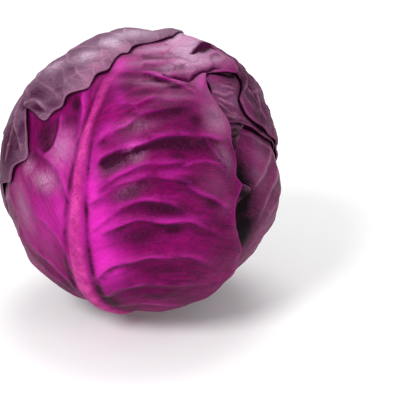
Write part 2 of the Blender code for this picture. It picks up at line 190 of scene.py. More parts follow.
# Faces that meet at a sharper angle than this, in degrees, aren't shaded as one surface
SHARP_ANGLE = 70.0

# The camera looks down a little, and the head's middle lies left of the picture's and above it,
# in pixels
CAMERA_DROP = 22.0
CAMERA_DISTANCE = 0.85
CAMERA_LENS = 129.8
SENSOR = 36.0
PICTURE_PIXELS = 410
FOCAL_PIXELS = CAMERA_LENS / SENSOR * PICTURE_PIXELS
HEAD_LEFT_OF_MIDDLE = 64
HEAD_ABOVE_MIDDLE = 34


@dataclass
class Ridge:
    """A raised vein or fold through places on the head, steeper on its lower side.

    Its height, the half-widths of its upper and lower sides and the depth of the furrow below
    it are in millimetres. It shrinks to thin_end of its size at its far end. A fold that hangs
    over has a gash, a narrow cut below it of this depth in millimetres, painted black as shade.
    tone says how strongly its crest and the painted light on its upper side are coloured.
    """

    places: list
    height: float = 1.1
    above: float = 3.0
    below: float = 1.5
    furrow: float = 0.5
    thin_end: float = 0.45
    gash: float = 0.0
    tone: float = 1.0


@dataclass
class Patch:
    """A soft spot of colour: its place, its half-width and half-height in degrees, and its turn."""

    place: tuple
    wide: float
    high: float
    turn: float = 0.0
    strength: float = 1.0


@dataclass
class Lift:
    """A rise of the head or of one leaf that is full at a place and fades out by its reach."""

    place: tuple
    reach: float
    height: float


# The head isn't quite round: it bulges behind the crown, and more so at the upper right
SWELLS = (Lift((114, 45), 42.0, 0.0054), Lift((-170, 67), 52.0, 0.0028))

# Beside the front leaf's free margin the inner leaves sink into a dark gap
GAP = Patch((44, 4), 6.5, 19.0)
GAP_DEPTH = 0.0060


@dataclass
class Leaf:
    """A wrapper leaf. Its margins and its midrib run from the stem to the tip.

    rib_sizes gives the midrib's half-width and height in millimetres at shares of its length.
    crowding and row_crowding, where they aren't 1, draw the grid's columns or rows together.
    crumple and net are the heights in millimetres of its soft dents and of its fine crinkles,
    and patches holds its spots by colour.
    """

    name: str
    slot: str
    left: list
    rib: list
    right: list
    rows: int
    columns: int
    rib_sizes: tuple = ((0, 3.8, 2.2), (0.5, 2.6, 1.6), (1, 1.2, 0.6))
    crowding: float = 1.15
    row_crowding: float = 1.0
    laterals: int = 5
    lateral_height: float = 0.9
    crumple: float = 0.5
    crumple_pitch: float = 0.020
    net: float = 0.25
    net_pitch: float = 0.009
    ridges: tuple = ()
    lifts: tuple = ()
    patches: dict = field(default_factory=dict)


FRONT_RIDGES = (
    Ridge([(-20, -50), (-8, -44), (10, -44), (28, -50)], 0.9, 4.0, 2.4, 0.4),
    Ridge([(-22, -38), (-8, -29), (12, -27), (30, -32)], 1.2, 3.8, 2.2, 0.6),
    Ridge([(-22, -26), (-12, -16), (6, -12), (20, -14), (34, -22)], 1.2, 3.6, 2.0, 0.6),
    Ridge([(-17, -3), (-11, 1), (-2, 4), (9, 3), (19, 2), (32, -6)], 1.3, 3.8, 2.0, 0.8),
    Ridge([(-20, -2), (-12, 6), (-3, 11), (6, 11), (13, 9), (22, 1)], 1.4, 2.8, 1.6, 0.7),
    Ridge([(-21, 9), (-14, 14), (-7, 16), (1, 19)], 0.9, 2.2, 1.4, 0.5),
    Ridge([(-15, 14), (-7, 18), (1, 20), (11, 20), (19, 17), (25, 12)], 1.3, 2.6, 1.5, 0.8),
    Ridge([(-19, 14), (-12, 19), (-4, 23), (4, 25), (14, 25), (24, 23)], 1.1, 2.6, 1.5, 0.6),
    Ridge(
        [(-20, 23), (-15, 28), (-7, 31), (1, 33), (10, 35), (20, 35), (29, 33), (44, 29)],
        1.6, 3.2, 2.2, 0.9, 0.6,
    ),
    Ridge([(-21, 31), (-16, 36), (-8, 40), (1, 44), (8, 46), (19, 47), (33, 46)], 1.0, 3.6, 2.2, 0.6),
    Ridge([(-4, 49), (-1, 47), (0, 44)], 0.7, 0.9, 0.7, 0.2),
    Ridge([(-14, 50), (-3, 49), (4, 51), (12, 53), (17, 51), (27, 49), (38, 48)], 0.8, 1.8, 1.8, 0.4),
    Ridge(
        [(-20, 64), (-7, 65), (7, 65), (19, 62), (28, 58), (34, 53), (39, 47)],
        1.5, 4.2, 1.8, 0.8, 0.7,
    ),
    Ridge(
        [(24, 63), (32, 60), (40, 58), (47, 59), (54, 59), (63, 58), (71, 57), (78, 54)],
        2.0, 3.8, 0.7, 1.0, 0.9, 2.0, 0.4,
    ),
    Ridge([(66, 57), (72, 60), (83, 61), (92, 57)], 1.0, 1.6, 1.6, 0.4, 0.8, 0.0, 0.4),
    Ridge([(60, 57), (50, 55), (43, 52), (38, 47)], 0.8, 2.2, 1.6, 0.3),
    Ridge(
        [(76, 68), (84, 67), (91, 66), (97, 64), (103, 61), (109, 56)],
        2.0, 4.4, 0.7, 1.2, 0.9, 3.0, 0.2,
    ),
    Ridge([(-2, 77), (18, 78), (44, 78), (58, 74), (68, 69)], 1.1, 5.0, 1.8, 0.5, 0.8, 0.0, 0.5),
    Ridge([(2, 71), (20, 70), (37, 69), (50, 64)], 1.0, 4.4, 2.0, 0.4, 0.8, 0.0, 0.5),
    Ridge([(16, 23), (24, 24), (30, 23), (34, 21), (37, 16)], 0.8, 1.4, 0.9, 0.3, 0.7),
    Ridge([(30, 33), (33, 28), (36, 22), (38, 17)], 0.7, 2.4, 2.0, 0.3, 0.8, 0.0, 0.35),
    Ridge([(17, 17), (22, 13), (29, 9), (37, 3)], 0.9, 1.8, 1.2, 0.4, 0.7),
    Ridge([(2, 12), (7, 13), (13, 12), (18, 10)], 0.5, 1.4, 0.9, 0.2),
    Ridge(
        [(-34, -44), (-31, -30), (-31, -16), (-35, -6), (-47, 0), (-53, 7), (-61, 13)],
        1.1, 3.4, 2.6, 0.2,
    ),
    Ridge([(-38, -48), (-35, -34), (-43, -24), (-50, -18), (-56, -10), (-60, -1)], 1.1, 3.4, 2.6, 0.3),
    Ridge([(-36, -56), (-41, -44), (-46, -34), (-54, -25)], 1.0, 3.2, 2.4, 0.3),
    Ridge([(-27, 8), (-34, 19), (-41, 22), (-54, 25)], 0.9, 3.0, 2.0, 0.4),
    Ridge([(-29, 31), (-29, 37), (-32, 44), (-36, 49), (-40, 54)], 1.5, 2.4, 2.0, 0.5, 0.8),
    Ridge([(-46, 22), (-41, 28), (-41, 34), (-43, 38), (-48, 42)], 1.0, 2.2, 1.8, 0.5, 0.8),
    Ridge([(-30, 50), (-32, 56), (-34, 60)], 0.8, 1.8, 1.6, 0.3),
)

CROWN_RIDGES = (
    Ridge(
        [(-108, 58), (-93, 60), (-78, 61), (-66, 62), (-52, 59), (-43, 57), (-34, 55)],
        0.6, 1.0, 0.9, 0.3, 0.7,
    ),
    Ridge([(-120, 74), (-101, 75), (-57, 73), (-34, 66), (-26, 64)], 0.6, 1.0, 0.9, 0.3, 0.7),
    Ridge([(-96, 46), (-84, 46), (-69, 48), (-59, 48), (-46, 45)], 0.6, 1.0, 0.9, 0.3, 0.7),
    Ridge([(-92, 57), (-84, 57), (-69, 57), (-53, 53), (-45, 52), (-44, 50)], 0.5, 0.9, 0.8, 0.2, 0.7),
    Ridge([(-60, 47), (-58, 50), (-53, 53)], 0.4, 0.8, 0.8, 0.2, 0.7),
    Ridge([(-68, 62), (-54, 63), (-46, 64), (-35, 66)], 0.5, 0.9, 0.8, 0.2, 0.7),
    Ridge([(-56, 73), (-39, 75), (-27, 75), (-16, 77)], 0.5, 0.9, 0.8, 0.2, 0.7),
    Ridge([(-164, 73), (-100, 85), (-63, 85), (-14, 79)], 0.6, 1.0, 0.9, 0.3, 0.7),
    Ridge([(170, 74), (130, 80), (80, 84), (30, 85)], 0.6, 1.2, 1.0, 0.2, 0.5),
    Ridge([(-76, 36), (-73, 38), (-68, 41), (-62, 41), (-55, 40)], 1.1, 1.4, 0.8, 0.8, 0.8),
    Ridge([(-86, 38), (-82, 35), (-78, 31), (-73, 30), (-70, 32)], 1.0, 1.2, 0.9, 0.6, 0.8),
    Ridge([(-80, 33), (-76, 30), (-72, 28), (-66, 26), (-58, 21)], 1.1, 1.2, 0.9, 0.7, 0.8),
    Ridge([(-77, 30), (-74, 27), (-72, 23), (-70, 18), (-68, 12)], 1.0, 1.2, 0.9, 0.6, 0.8),
    Ridge([(-92, 18), (-84, 20), (-76, 15), (-72, 6)], 0.9, 1.4, 1.0, 0.5),
    Ridge([(-94, 4), (-86, 6), (-80, 0), (-78, -10)], 0.9, 1.6, 1.2, 0.4),
)

RIGHT_RIDGES = (
    Ridge([(56, 30), (63, 27), (69, 22), (74, 16), (77, 9)], 1.3, 2.4, 2.0, 0.3, 0.9),
    Ridge([(76, 16), (70, 13), (64, 11), (58, 9), (52, 5)], 0.8, 2.6, 1.8, 0.3, 0.7),
    Ridge([(76, 8), (69, 4), (63, 2), (58, -3), (54, -10)], 0.9, 2.6, 1.8, 0.3, 0.7),
    Ridge([(98, 4), (84, 0), (70, -4), (60, -12)], 1.1, 2.2, 1.4, 0.6),
    Ridge([(98, -10), (84, -14), (68, -20), (56, -32)], 1.1, 2.4, 1.6, 0.6),
    Ridge([(92, -28), (78, -32), (64, -40), (54, -50)], 1.1, 2.6, 1.8, 0.6),
)

SHOULDER_RIDGES = (
    Ridge([(60, 56), (70, 54), (80, 49), (90, 43)], 0.8, 1.4, 1.0, 0.4, 0.7),
    Ridge([(50, 54), (52, 52), (56, 49), (61, 46), (66, 45), (70, 43)], 0.9, 1.5, 0.8, 0.5, 0.8),
    Ridge([(54, 46), (56, 44), (60, 42), (62, 40)], 0.9, 1.4, 0.9, 0.5, 0.7),
    Ridge([(46, 45), (51, 43), (54, 39), (60, 35)], 0.6, 1.2, 0.9, 0.3, 0.7),
    Ridge([(64, 50), (69, 47), (78, 42)], 0.6, 1.2, 0.9, 0.3, 0.7),
    Ridge([(48, 39), (54, 37), (60, 34), (68, 30)], 0.7, 1.4, 1.0, 0.3, 0.8),
)

FAR_RIGHT_RIDGES = (
    Ridge([(80, 45), (74, 41), (70, 37), (68, 33)], 0.9, 1.4, 1.2, 0.5, 0.9),
    Ridge([(88, 44), (83, 38), (80, 33), (78, 29)], 1.1, 1.4, 1.2, 0.7, 0.8),
    Ridge([(92, 36), (84, 33), (79, 29), (77, 25)], 1.0, 1.4, 1.0, 0.5, 0.8),
    Ridge([(112, 47), (98, 44), (84, 42), (72, 41)], 0.9, 1.6, 1.1, 0.5, 0.8),
    Ridge([(112, 34), (104, 20), (96, 10)], 1.0, 2.0, 1.6, 0.5),
    Ridge([(118, 14), (110, 0), (106, -12)], 1.0, 2.2, 1.8, 0.5),
    Ridge([(120, -8), (112, -22), (104, -36)], 1.0, 2.4, 2.0, 0.5),
)

INNER_FRONT_RIDGES = (
    Ridge([(44, 34), (50, 33), (56, 33), (61, 32)], 1.2, 1.1, 0.9, 0.8, 0.9, 0.0, 0.5),
    Ridge([(42, 31), (47, 31), (53, 29)], 1.0, 1.1, 0.9, 0.9, 0.8, 0.0, 0.5),
    Ridge([(53, 29), (49, 27), (46, 23), (44, 19)], 1.2, 1.1, 0.9, 0.9, 0.9, 0.0, 0.5),
    Ridge([(47, 29), (45, 26), (43, 22), (42, 17)], 0.9, 0.9, 0.8, 0.9, 0.9, 0.0, 0.3),
    Ridge([(38, 11), (42, 11), (45, 9), (49, 7)], 0.9, 1.0, 0.9, 0.5, 0.9),
    Ridge([(36, -10), (42, -8), (46, -14)], 0.8, 1.8, 1.2, 0.4),
)

# Soft spots of each colour. The dark ones are a wine-black tone together with painted shade in
# hollows, under folds and in gaps, the vivid ones a bright magenta, the pale pink ones painted light
# on a vein's upper side, the mauve ones a dull greyish pink, and the bloom a dusty bluish white that
# in some spots is painted sheen
FRONT_PATCHES = {
    "dark": (
        Patch((-50, 31), 5.5, 8.0, 15), Patch((-53, 22), 5.0, 3.5, 15, 0.7),
        Patch((-38, 40), 4.0, 3.5, 12, 0.6), Patch((-40, 47), 2.2, 4.5, 35, 0.9),
        Patch((-11, 57), 6.5, 3.4, 28, 0.7), Patch((3, 55), 7.0, 2.0, 10, 0.8),
        Patch((14, 66), 16.0, 1.7, 0, 0.5), Patch((22, 75), 12.0, 1.6, -20, 0.35),
        Patch((8, 7), 10.0, 3.2, -3), Patch((26, 14), 13.0, 24.0, 0, 0.4),
        Patch((37, 19), 6.0, 12.0, 0, 0.65), Patch((-20, -43), 12.0, 8.0, 0, 0.9),
        Patch((20, 41), 15.0, 4.0, -4, 0.4), Patch((19, 45), 11.0, 3.6, -2, 0.9),
        Patch((29, 40), 4.0, 4.0, -10), Patch((20, 39), 6.0, 2.0, -8, 0.6),
        Patch((18, 31), 15.0, 3.8, -12), Patch((-9, 30), 5.0, 1.6, 23, 0.6),
        Patch((-10, 25), 9.0, 3.6, 28, 0.75), Patch((16, 27), 5.0, 2.2, -7, 0.8),
        Patch((19, 17), 6.3, 2.2, -22), Patch((-4, 14), 10.0, 2.8, 21, 0.75),
        Patch((28, 7), 5.4, 3.0, -29, 0.8), Patch((12, 8), 8.4, 1.9, -11),
        Patch((-1, -3), 12.0, 4.4, 8, 0.85), Patch((12, -1), 5.0, 2.1, -2, 0.9),
        Patch((10, -19), 14.0, 3.0, -2, 0.8), Patch((8, -36), 14.0, 3.4, 0, 0.8),
        Patch((-19, -38), 3.4, 14.0, 22, 0.8), Patch((-41, -38), 5.5, 9.0, -48, 0.8),
        Patch((-50, -25), 5.0, 6.0, -25, 0.5), Patch((36, 24), 1.8, 4.6, 15, 0.8),
        Patch((36, 59), 5.0, 1.4, -9, 0.6), Patch((96, 63), 6.0, 2.2, -24, 2.0),
        Patch((34, -12), 12.0, 24.0, 10, 0.5), Patch((8, -34), 34.0, 11.0, 0, 0.4),
        Patch((38, 40), 6.0, 3.0, -20, 0.5), Patch((27, 56), 8.0, 1.2, -12, 0.7),
        Patch((20, 61), 14.0, 1.0, -5, 0.6),
    ),
    "vivid": (
        Patch((-19, 15), 4.0, 14.0, 6, 1.1), Patch((-16, 0), 7.5, 13.0, -5, 1.25),
        Patch((-6, 21), 7.0, 2.4, 20, 0.5), Patch((-38, 0), 10.0, 14.0, 0, 0.4),
        Patch((-4, 31), 6.0, 2.2, 19, 1.2), Patch((-34, 24), 8.0, 12.0, 0, 0.55),
        Patch((-15, 37), 4.1, 3.2, 31, 0.6), Patch((-33, 44), 1.7, 9.6, 14, 0.6),
        Patch((14, 21), 5.3, 1.5, -6, 0.5), Patch((14, 3), 8.5, 1.6, -7, 0.6),
        Patch((-32, 5), 5.0, 16.0, 6, 0.65), Patch((-15, -17), 7.0, 14.0, -4, 1.2),
        Patch((47, 53), 3.6, 3.1, 26, 0.5), Patch((-20, 68), 4.0, 5.0, 79, 0.8),
        Patch((-15, 56), 3.0, 8.0, 20, 0.5),
    ),
    "slope": (
        Patch((-35, 28), 5.5, 7.0, 3, 1.3), Patch((-31, 4), 4.0, 12.0, 0, 0.7),
        Patch((-18, 11), 3.0, 9.0, 0, 0.9), Patch((-31, 69), 4.0, 4.0),
        Patch((-44, -4), 9.0, 9.0, 0, 0.5), Patch((23, 69), 24.0, 4.5, -11, 0.5),
        Patch((-21, 70), 3.5, 6.0, 60, 0.8), Patch((-8, 33), 6.0, 3.0, 20, 0.6),
    ),
    "mauve": (
        Patch((-36, 28), 6.9, 6.7, 3, 0.3), Patch((41, 38), 6.5, 9.0, -6, 1.3),
        Patch((38, 23), 3.2, 6.5, 10, 1.4), Patch((31, 14), 6.7, 6.0, -29, 0.6),
        Patch((20, 52), 10.7, 1.8, -14, 0.8), Patch((10, 59), 8.2, 2.5, -12, 0.7),
        Patch((23, 69), 18.0, 5.7, -11, 0.9), Patch((70, 74), 24.0, 9.0, -20, 0.5),
        Patch((78, 61), 18.0, 8.0, -20, 1.3), Patch((47, 46), 5.0, 7.0, 0, 1.1),
        Patch((-54, -1), 7.0, 11.6, 26, 0.6), Patch((-43, -16), 6.0, 10.0, -11, 0.3),
        Patch((34, 5), 3.9, 4.7, -14, 0.5), Patch((-4, 36), 5.1, 2.3, 21, 0.3),
    ),
    "bloom": (
        Patch((-2, 29), 3.6, 2.8, 30), Patch((-42, 14), 6.5, 3.9, 6, 0.8),
        Patch((-10, 25), 5.2, 2.2, 28, 0.5), Patch((37, 23), 2.8, 5.4, 10, 0.4),
        Patch((-53, 17), 3.3, 3.8, 17, 0.6), Patch((-54, -1), 4.0, 9.0, 20, 0.35),
        Patch((40, 39), 4.6, 6.0, -14, 0.4), Patch((-4, 15), 5.2, 2.1, 21, 0.4),
        Patch((0, 40), 6.6, 2.7, 10, 0.35), Patch((70, 80), 13.0, 5.5, -30, 1.3),
        Patch((100, 70), 20.0, 9.0, -10, 1.9), Patch((54, 65), 14.0, 3.8, -14, 1.3),
        Patch((-37, 28), 6.0, 7.0, 3, 0.5), Patch((26, 72), 12.0, 1.8, -6, 0.6),
        Patch((78, 66), 7.0, 4.0, 0, 1.6), Patch((14, 60), 12.0, 2.0, -14, 0.45),
        Patch((82, 58), 8.0, 2.4, -20, 0.8),
    ),
}

CROWN_PATCHES = {
    "bloom": (
        Patch((-76, 79), 6.5, 4.0, 10, 1.5), Patch((-66, 67), 6.5, 4.0, 30, 1.3),
        Patch((-86, 55), 6.0, 4.5, 30, 1.3), Patch((-96, 47), 4.0, 5.0),
        Patch((-150, 84), 12.0, 5.0, 0, 0.9), Patch((-150, 40), 20.0, 18.0, 0, 0.5),
        Patch((180, 55), 16.0, 12.0, 0, 0.5),
    ),
    "vivid": (
        Patch((-40, 64), 4.0, 2.4, 30, 0.8), Patch((-38, 57), 4.0, 3.0, 30, 0.6),
        Patch((-44, 71), 5.0, 4.0, 30, 0.7), Patch((-28, 79), 7.0, 4.0, 20, 0.7),
        Patch((-45, 50), 3.0, 3.0, 30, 0.3),
    ),
    "mauve": (
        Patch((-46, 60), 5.0, 3.0, 30, 0.7),
    ),
    "dark": (
        Patch((-71, 43), 10.0, 4.5, 15), Patch((-57, 50), 5.0, 3.0, 15, 0.7),
        Patch((-54, 43), 8.0, 2.6, 15, 0.7), Patch((-61, 39), 5.0, 1.8, 10, 1.3),
        Patch((-75, 36), 7.0, 3.0, 10), Patch((-64, 29), 5.0, 6.0),
        Patch((-72, 18), 14.0, 14.0, 0, 1.2), Patch((-76, 6), 10.0, 14.0, 0, 0.9),
        Patch((-63, 59), 3.4, 2.2, 20, 0.6), Patch((-96, -40), 20.0, 14.0, 0, 0.5),
        Patch((-74, 44), 22.0, 22.0, 20, 0.45),
    ),
}

# The dark spots here are painted shade beside the front leaf's margin and under the lifted flaps
INNER_FRONT_PATCHES = {
    "mauve": (
        Patch((50, 31), 8.0, 3.0, -10), Patch((46, 26), 3.0, 4.0, 0, 0.8),
    ),
    "bloom": (
        Patch((57, 31), 4.0, 1.2, -10, 0.7), Patch((48, 7), 2.0, 1.0, -20, 0.4),
    ),
    "dark": (
        Patch((45, 23), 5.0, 8.0, 0, 1.1), Patch((46, 8), 5.0, 5.0, 0, 1.7),
        Patch((42, 33), 5.0, 3.0, 0, 0.5), Patch((51, 30), 5.0, 3.4, 0, 0.9),
        Patch((40, 2), 3.0, 3.0, 0, 0.8), Patch((42, 16), 3.0, 5.0),
    ),
}

# The dark spots here are painted shade in the gap beside the front leaf's margin
RIGHT_PATCHES = {
    "dark": (
        Patch((45, 6), 8.0, 20.0, 0, 1.6), Patch((47, -14), 8.0, 14.0, 0, 1.5),
        Patch((46, 24), 5.0, 4.0, 0, 1.2), Patch((52, 14), 4.0, 7.0, -30, 0.7),
    ),
    "vivid": (
        Patch((64, 28), 12.0, 2.0, -32, 0.9), Patch((57, 18), 10.0, 10.0, -30, 0.6),
    ),
    "mauve": (
        Patch((63, 16), 6.0, 4.0, -30, 0.8), Patch((60, 8), 6.0, 5.0, 20, 0.7),
        Patch((68, -14), 12.0, 14.0, 0, 0.6),
    ),
    "bloom": (
        Patch((68, 22), 3.0, 4.0, 30, 0.5), Patch((56, 12), 2.5, 4.0, 20, 0.4),
    ),
}

SHOULDER_PATCHES = {
    "vivid": (
        Patch((58, 55), 8.0, 2.4, -10, 0.9), Patch((50, 47), 3.0, 5.0, 0, 0.6),
    ),
    "mauve": (
        Patch((64, 44), 10.0, 6.0, -30, 0.7),
    ),
    "bloom": (
        Patch((58, 51), 4.0, 2.4, -30, 0.6), Patch((66, 41), 4.0, 3.0, -30, 0.5),
    ),
    "dark": (
        Patch((50, 41), 4.0, 2.0, -20, 0.5), Patch((48, 37), 6.0, 1.2, -8, 0.8),
    ),
}

FAR_RIGHT_PATCHES = {
    "dark": (
        Patch((80, 35), 3.0, 6.0, 20, 0.9), Patch((84, 43), 8.0, 3.0, -10, 0.7),
        Patch((72, 31), 8.0, 3.0, -40, 0.8), Patch((80, 36), 20.0, 16.0, 0, 0.35),
    ),
    "vivid": (
        Patch((68, 34), 3.0, 3.0, 0, 0.5),
    ),
    "mauve": (
        Patch((84, 30), 12.0, 5.0, 0, 0.4), Patch((110, 10), 18.0, 24.0, 0, 0.6),
    ),
    "bloom": (
        Patch((75, 40), 4.0, 2.0, 0, 0.4), Patch((112, 20), 12.0, 14.0, 0, 0.3),
    ),
}

# In the order in which they wrap the head, innermost first
LEAVES = (
    Leaf(
        "leaf_right",
        "side_leaf",
        left=[(36, -77), (18, -50), (14, -10), (18, 25), (36, 52), (80, 68)],
        rib=[(66, -77), (84, -52), (96, -20), (102, 5), (108, 30), (112, 60)],
        right=[(92, -77), (122, -50), (134, -10), (138, 20), (142, 44), (142, 62)],
        rows=230,
        columns=190,
        laterals=0,
        crumple=0.8,
        crumple_pitch=0.020,
        net=0.06,
        ridges=RIGHT_RIDGES,
        lifts=(Lift((72, 0), 30.0, 0.0022),),
        patches=RIGHT_PATCHES,
    ),
    Leaf(
        "leaf_inner_front",
        "side_leaf",
        left=[(-4, -77), (-26, -50), (-34, -10), (-30, 20), (-16, 38)],
        rib=[(14, -77), (12, -50), (10, -15), (12, 15), (20, 42)],
        right=[
            (32, -77), (42, -50), (45, -22), (40, -4), (40, 2), (44, 5), (49, 7), (46, 10), (41, 13),
            (42, 19), (45, 22), (49, 25), (52, 28), (56, 30), (61, 31), (60, 33), (52, 35), (44, 42),
        ],
        rows=220,
        columns=60,
        laterals=0,
        ridges=INNER_FRONT_RIDGES,
        lifts=(Lift((49, 7), 8.0, 0.0008), Lift((54, 29), 10.0, 0.0016)),
        patches=INNER_FRONT_PATCHES,
    ),
    Leaf(
        "leaf_back",
        "side_leaf",
        left=[(154, -77), (128, -50), (114, -10), (112, 25), (120, 55), (150, 74)],
        rib=[(172, -77), (174, -45), (176, -10), (176, 25), (178, 55), (-170, 80)],
        right=[(-170, -77), (-146, -50), (-132, -10), (-130, 25), (-136, 55), (-150, 76)],
        rows=110,
        columns=80,
        laterals=7,
    ),
    Leaf(
        "leaf_shoulder",
        "shoulder_leaf",
        left=[
            (122, -77), (116, -54), (110, -22), (102, 0), (88, 12), (76, 20), (66, 28),
            (58, 33), (49, 36), (44, 40), (42, 46),
        ],
        rib=[(138, -77), (146, -50), (148, -15), (138, 18), (108, 38), (76, 48), (56, 52)],
        right=[(152, -77), (172, -50), (176, -10), (168, 30), (150, 58), (90, 68), (50, 62)],
        rows=220,
        columns=130,
        rib_sizes=((0, 3.6, 2.0), (0.5, 2.2, 1.2), (1, 0.9, 0.3)),
        laterals=8,
        crumple=0.9,
        crumple_pitch=0.016,
        net=0.5,
        net_pitch=0.008,
        ridges=SHOULDER_RIDGES,
        patches=SHOULDER_PATCHES,
    ),
    Leaf(
        "leaf_far_right",
        "shoulder_leaf",
        left=[
            (92, -77), (100, -54), (106, -30), (104, -8), (92, 8), (80, 19), (72, 26), (66, 31),
            (64, 36), (68, 40), (78, 42), (86, 44), (92, 50), (108, 58),
        ],
        rib=[(108, -77), (124, -50), (132, -15), (130, 16), (122, 40), (124, 58), (136, 74)],
        right=[(126, -77), (148, -50), (158, -15), (164, 20), (172, 52), (-170, 72)],
        rows=220,
        columns=120,
        laterals=7,
        crumple=0.9,
        crumple_pitch=0.016,
        net=0.5,
        net_pitch=0.008,
        ridges=FAR_RIGHT_RIDGES,
        lifts=(Lift((72, 30), 12.0, 0.0012), Lift((100, -6), 16.0, 0.0014)),
        patches=FAR_RIGHT_PATCHES,
    ),
    Leaf(
        "leaf_left",
        "side_leaf",
        left=[(-118, -77), (-142, -52), (-150, -20), (-146, 14), (-130, 40)],
        rib=[(-98, -77), (-100, -50), (-102, -20), (-104, 14), (-104, 46)],
        right=[(-78, -77), (-58, -52), (-52, -20), (-54, 12), (-76, 40)],
        rows=100,
        columns=70,
    ),
    Leaf(
        "leaf_front",
        "front_leaf",
        left=[
            (-44, -77), (-66, -54), (-70, -34), (-64, -20), (-62, -12), (-64, -4), (-72, 8),
            (-88, 24), (-104, 44), (-120, 62), (-170, 78), (144, 66),
        ],
        rib=[
            (-10, -77), (-17, -64), (-25, -52), (-27, -36), (-26, -10), (-25, 10), (-25, 34),
            (-25, 52), (-24, 62), (-18, 71), (6, 79), (70, 77), (124, 63),
        ],
        right=[
            (20, -77), (40, -60), (49, -40), (46, -20), (39, -4), (39, 5), (42, 11), (41, 15),
            (44, 20), (44, 28), (47, 35), (46, 43), (49, 50), (55, 56), (64, 57), (74, 53),
            (84, 48), (100, 50),
        ],
        rows=290,
        columns=164,
        rib_sizes=(
            (0, 7.0, 2.8), (0.12, 6.6, 2.7), (0.25, 5.4, 2.4), (0.4, 4.1, 2.1), (0.52, 2.8, 1.8),
            (0.62, 2.1, 1.4), (0.70, 3.0, 1.0), (0.78, 5.0, 0.7), (1, 5.0, 0.4),
        ),
        laterals=0,
        crumple=0.55,
        crumple_pitch=0.022,
        net=0.06,
        net_pitch=0.010,
        ridges=FRONT_RIDGES,
        lifts=(Lift((46, 8), 15.0, 0.0026), Lift((48, 30), 12.0, 0.0018), Lift((84, 54), 14.0, 0.0016)),
        patches=FRONT_PATCHES,
    ),
    Leaf(
        "leaf_crown",
        "crown_leaf",
        left=[(-158, -77), (176, -52), (164, -20), (158, 16), (150, 46), (138, 64)],
        rib=[(-140, -77), (-137, -50), (-134, -15), (-136, 22), (-146, 54), (178, 76), (128, 71)],
        right=[
            (-120, -77), (-104, -52), (-92, -24), (-80, -2), (-69, 5), (-64, 7), (-62, 14), (-55, 20),
            (-57, 25), (-60, 29), (-65, 33), (-72, 36), (-63, 37), (-54, 36), (-51, 41), (-46, 44),
            (-47, 49), (-37, 54), (-36, 57), (-36, 61), (-28, 64), (-28, 67), (-30, 72), (-27, 76),
            (-18, 77), (-17, 82), (-6, 86), (80, 88), (114, 84), (118, 79), (120, 74),
        ],
        rows=280,
        columns=140,
        crowding=0.95,
        rib_sizes=((0, 5.0, 3.0), (0.4, 3.0, 2.0), (0.75, 1.4, 0.9), (1, 0.8, 0.3)),
        row_crowding=0.72,
        laterals=7,
        lateral_height=0.8,
        crumple=0.35,
        net=0.12,
        net_pitch=0.012,
        ridges=CROWN_RIDGES,
        lifts=(Lift((-66, 34), 10.0, 0.0012),),
        patches=CROWN_PATCHES,
    ),
)


def directions(places):
    """Unit vectors from the middle of the head towards (azimuth, latitude) places."""
    azimuth, latitude = np.radians(np.asarray(places, float)).T
    across = np.cos(latitude)
    return np.stack([across * np.sin(azimuth), -across * np.cos(azimuth), np.sin(latitude)], axis=1)


def unit(vectors):
    return vectors / np.linalg.norm(vectors, axis=-1, keepdims=True)


def smooth_path(places, count):
    """A smooth curve through places on the head, as unit vectors evenly spaced along it."""
    knots = directions(places)
    knots = np.vstack([2 * knots[0] - knots[1], knots, 2 * knots[-1] - knots[-2]])
    fine = []
    for a, b, c, d in zip(knots, knots[1:], knots[2:], knots[3:]):
        for s in np.linspace(0, 1, 12, endpoint=False):
            bend = (2 * a - 5 * b + 4 * c - d) * s**2 + (3 * b - a - 3 * c + d) * s**3
            fine.append(b + 0.5 * ((c - a) * s + bend))
    fine = unit(np.array(fine + [knots[-2]]))
    steps = np.linalg.norm(np.diff(fine, axis=0), axis=1)
    length = np.concatenate([[0], np.cumsum(steps)])
    wanted = np.linspace(0, length[-1], count)
    return unit(np.stack([np.interp(wanted, length, fine[:, k]) for k in range(3)], axis=1))


def nearest_on_path(points, path):
    """Each direction's distance to a path in degrees, positive above it, and its share along it."""
    best = np.full(len(points), np.inf)
    along = np.zeros(len(points))
    side = np.zeros(len(points))
    upright = math.copysign(1, np.cross(path[0], path[-1] - path[0])[2])
    for k, (start, end) in enumerate(zip(path, path[1:])):
        step = end - start
        offset = points - start
        share = np.clip(offset @ step / (step @ step), 0, 1)
        gap = np.linalg.norm(offset - share[:, None] * step, axis=1)
        closer = gap < best
        best = np.where(closer, gap, best)
        along = np.where(closer, (k + share) / (len(path) - 1), along)
        side = np.where(closer, offset @ np.cross(start, step), side)
    return np.degrees(best) * np.where(side * upright < 0, -1, 1), along


def over_leaf(left, rib, right, across):
    """Directions across a leaf, from the left margin (-1) over the midrib (0) to the right one (1)."""
    x = across[:, None]
    return unit(left * x * (x - 1) / 2 + rib * (1 - x * x) + right * x * (x + 1) / 2)


def outline(leaf):
    """The closed line round a leaf: up its left margin, over the tip and down the right one."""
    left, rib, right = (smooth_path(path, MARGIN_SAMPLES) for path in (leaf.left, leaf.rib, leaf.right))
    tip = over_leaf(left[-1], rib[-1], right[-1], np.linspace(-1, 1, 9)[1:-1])
    base = over_leaf(left[0], rib[0], right[0], np.linspace(1, -1, 7)[1:])
    return np.vstack([left, tip, right[::-1], base])


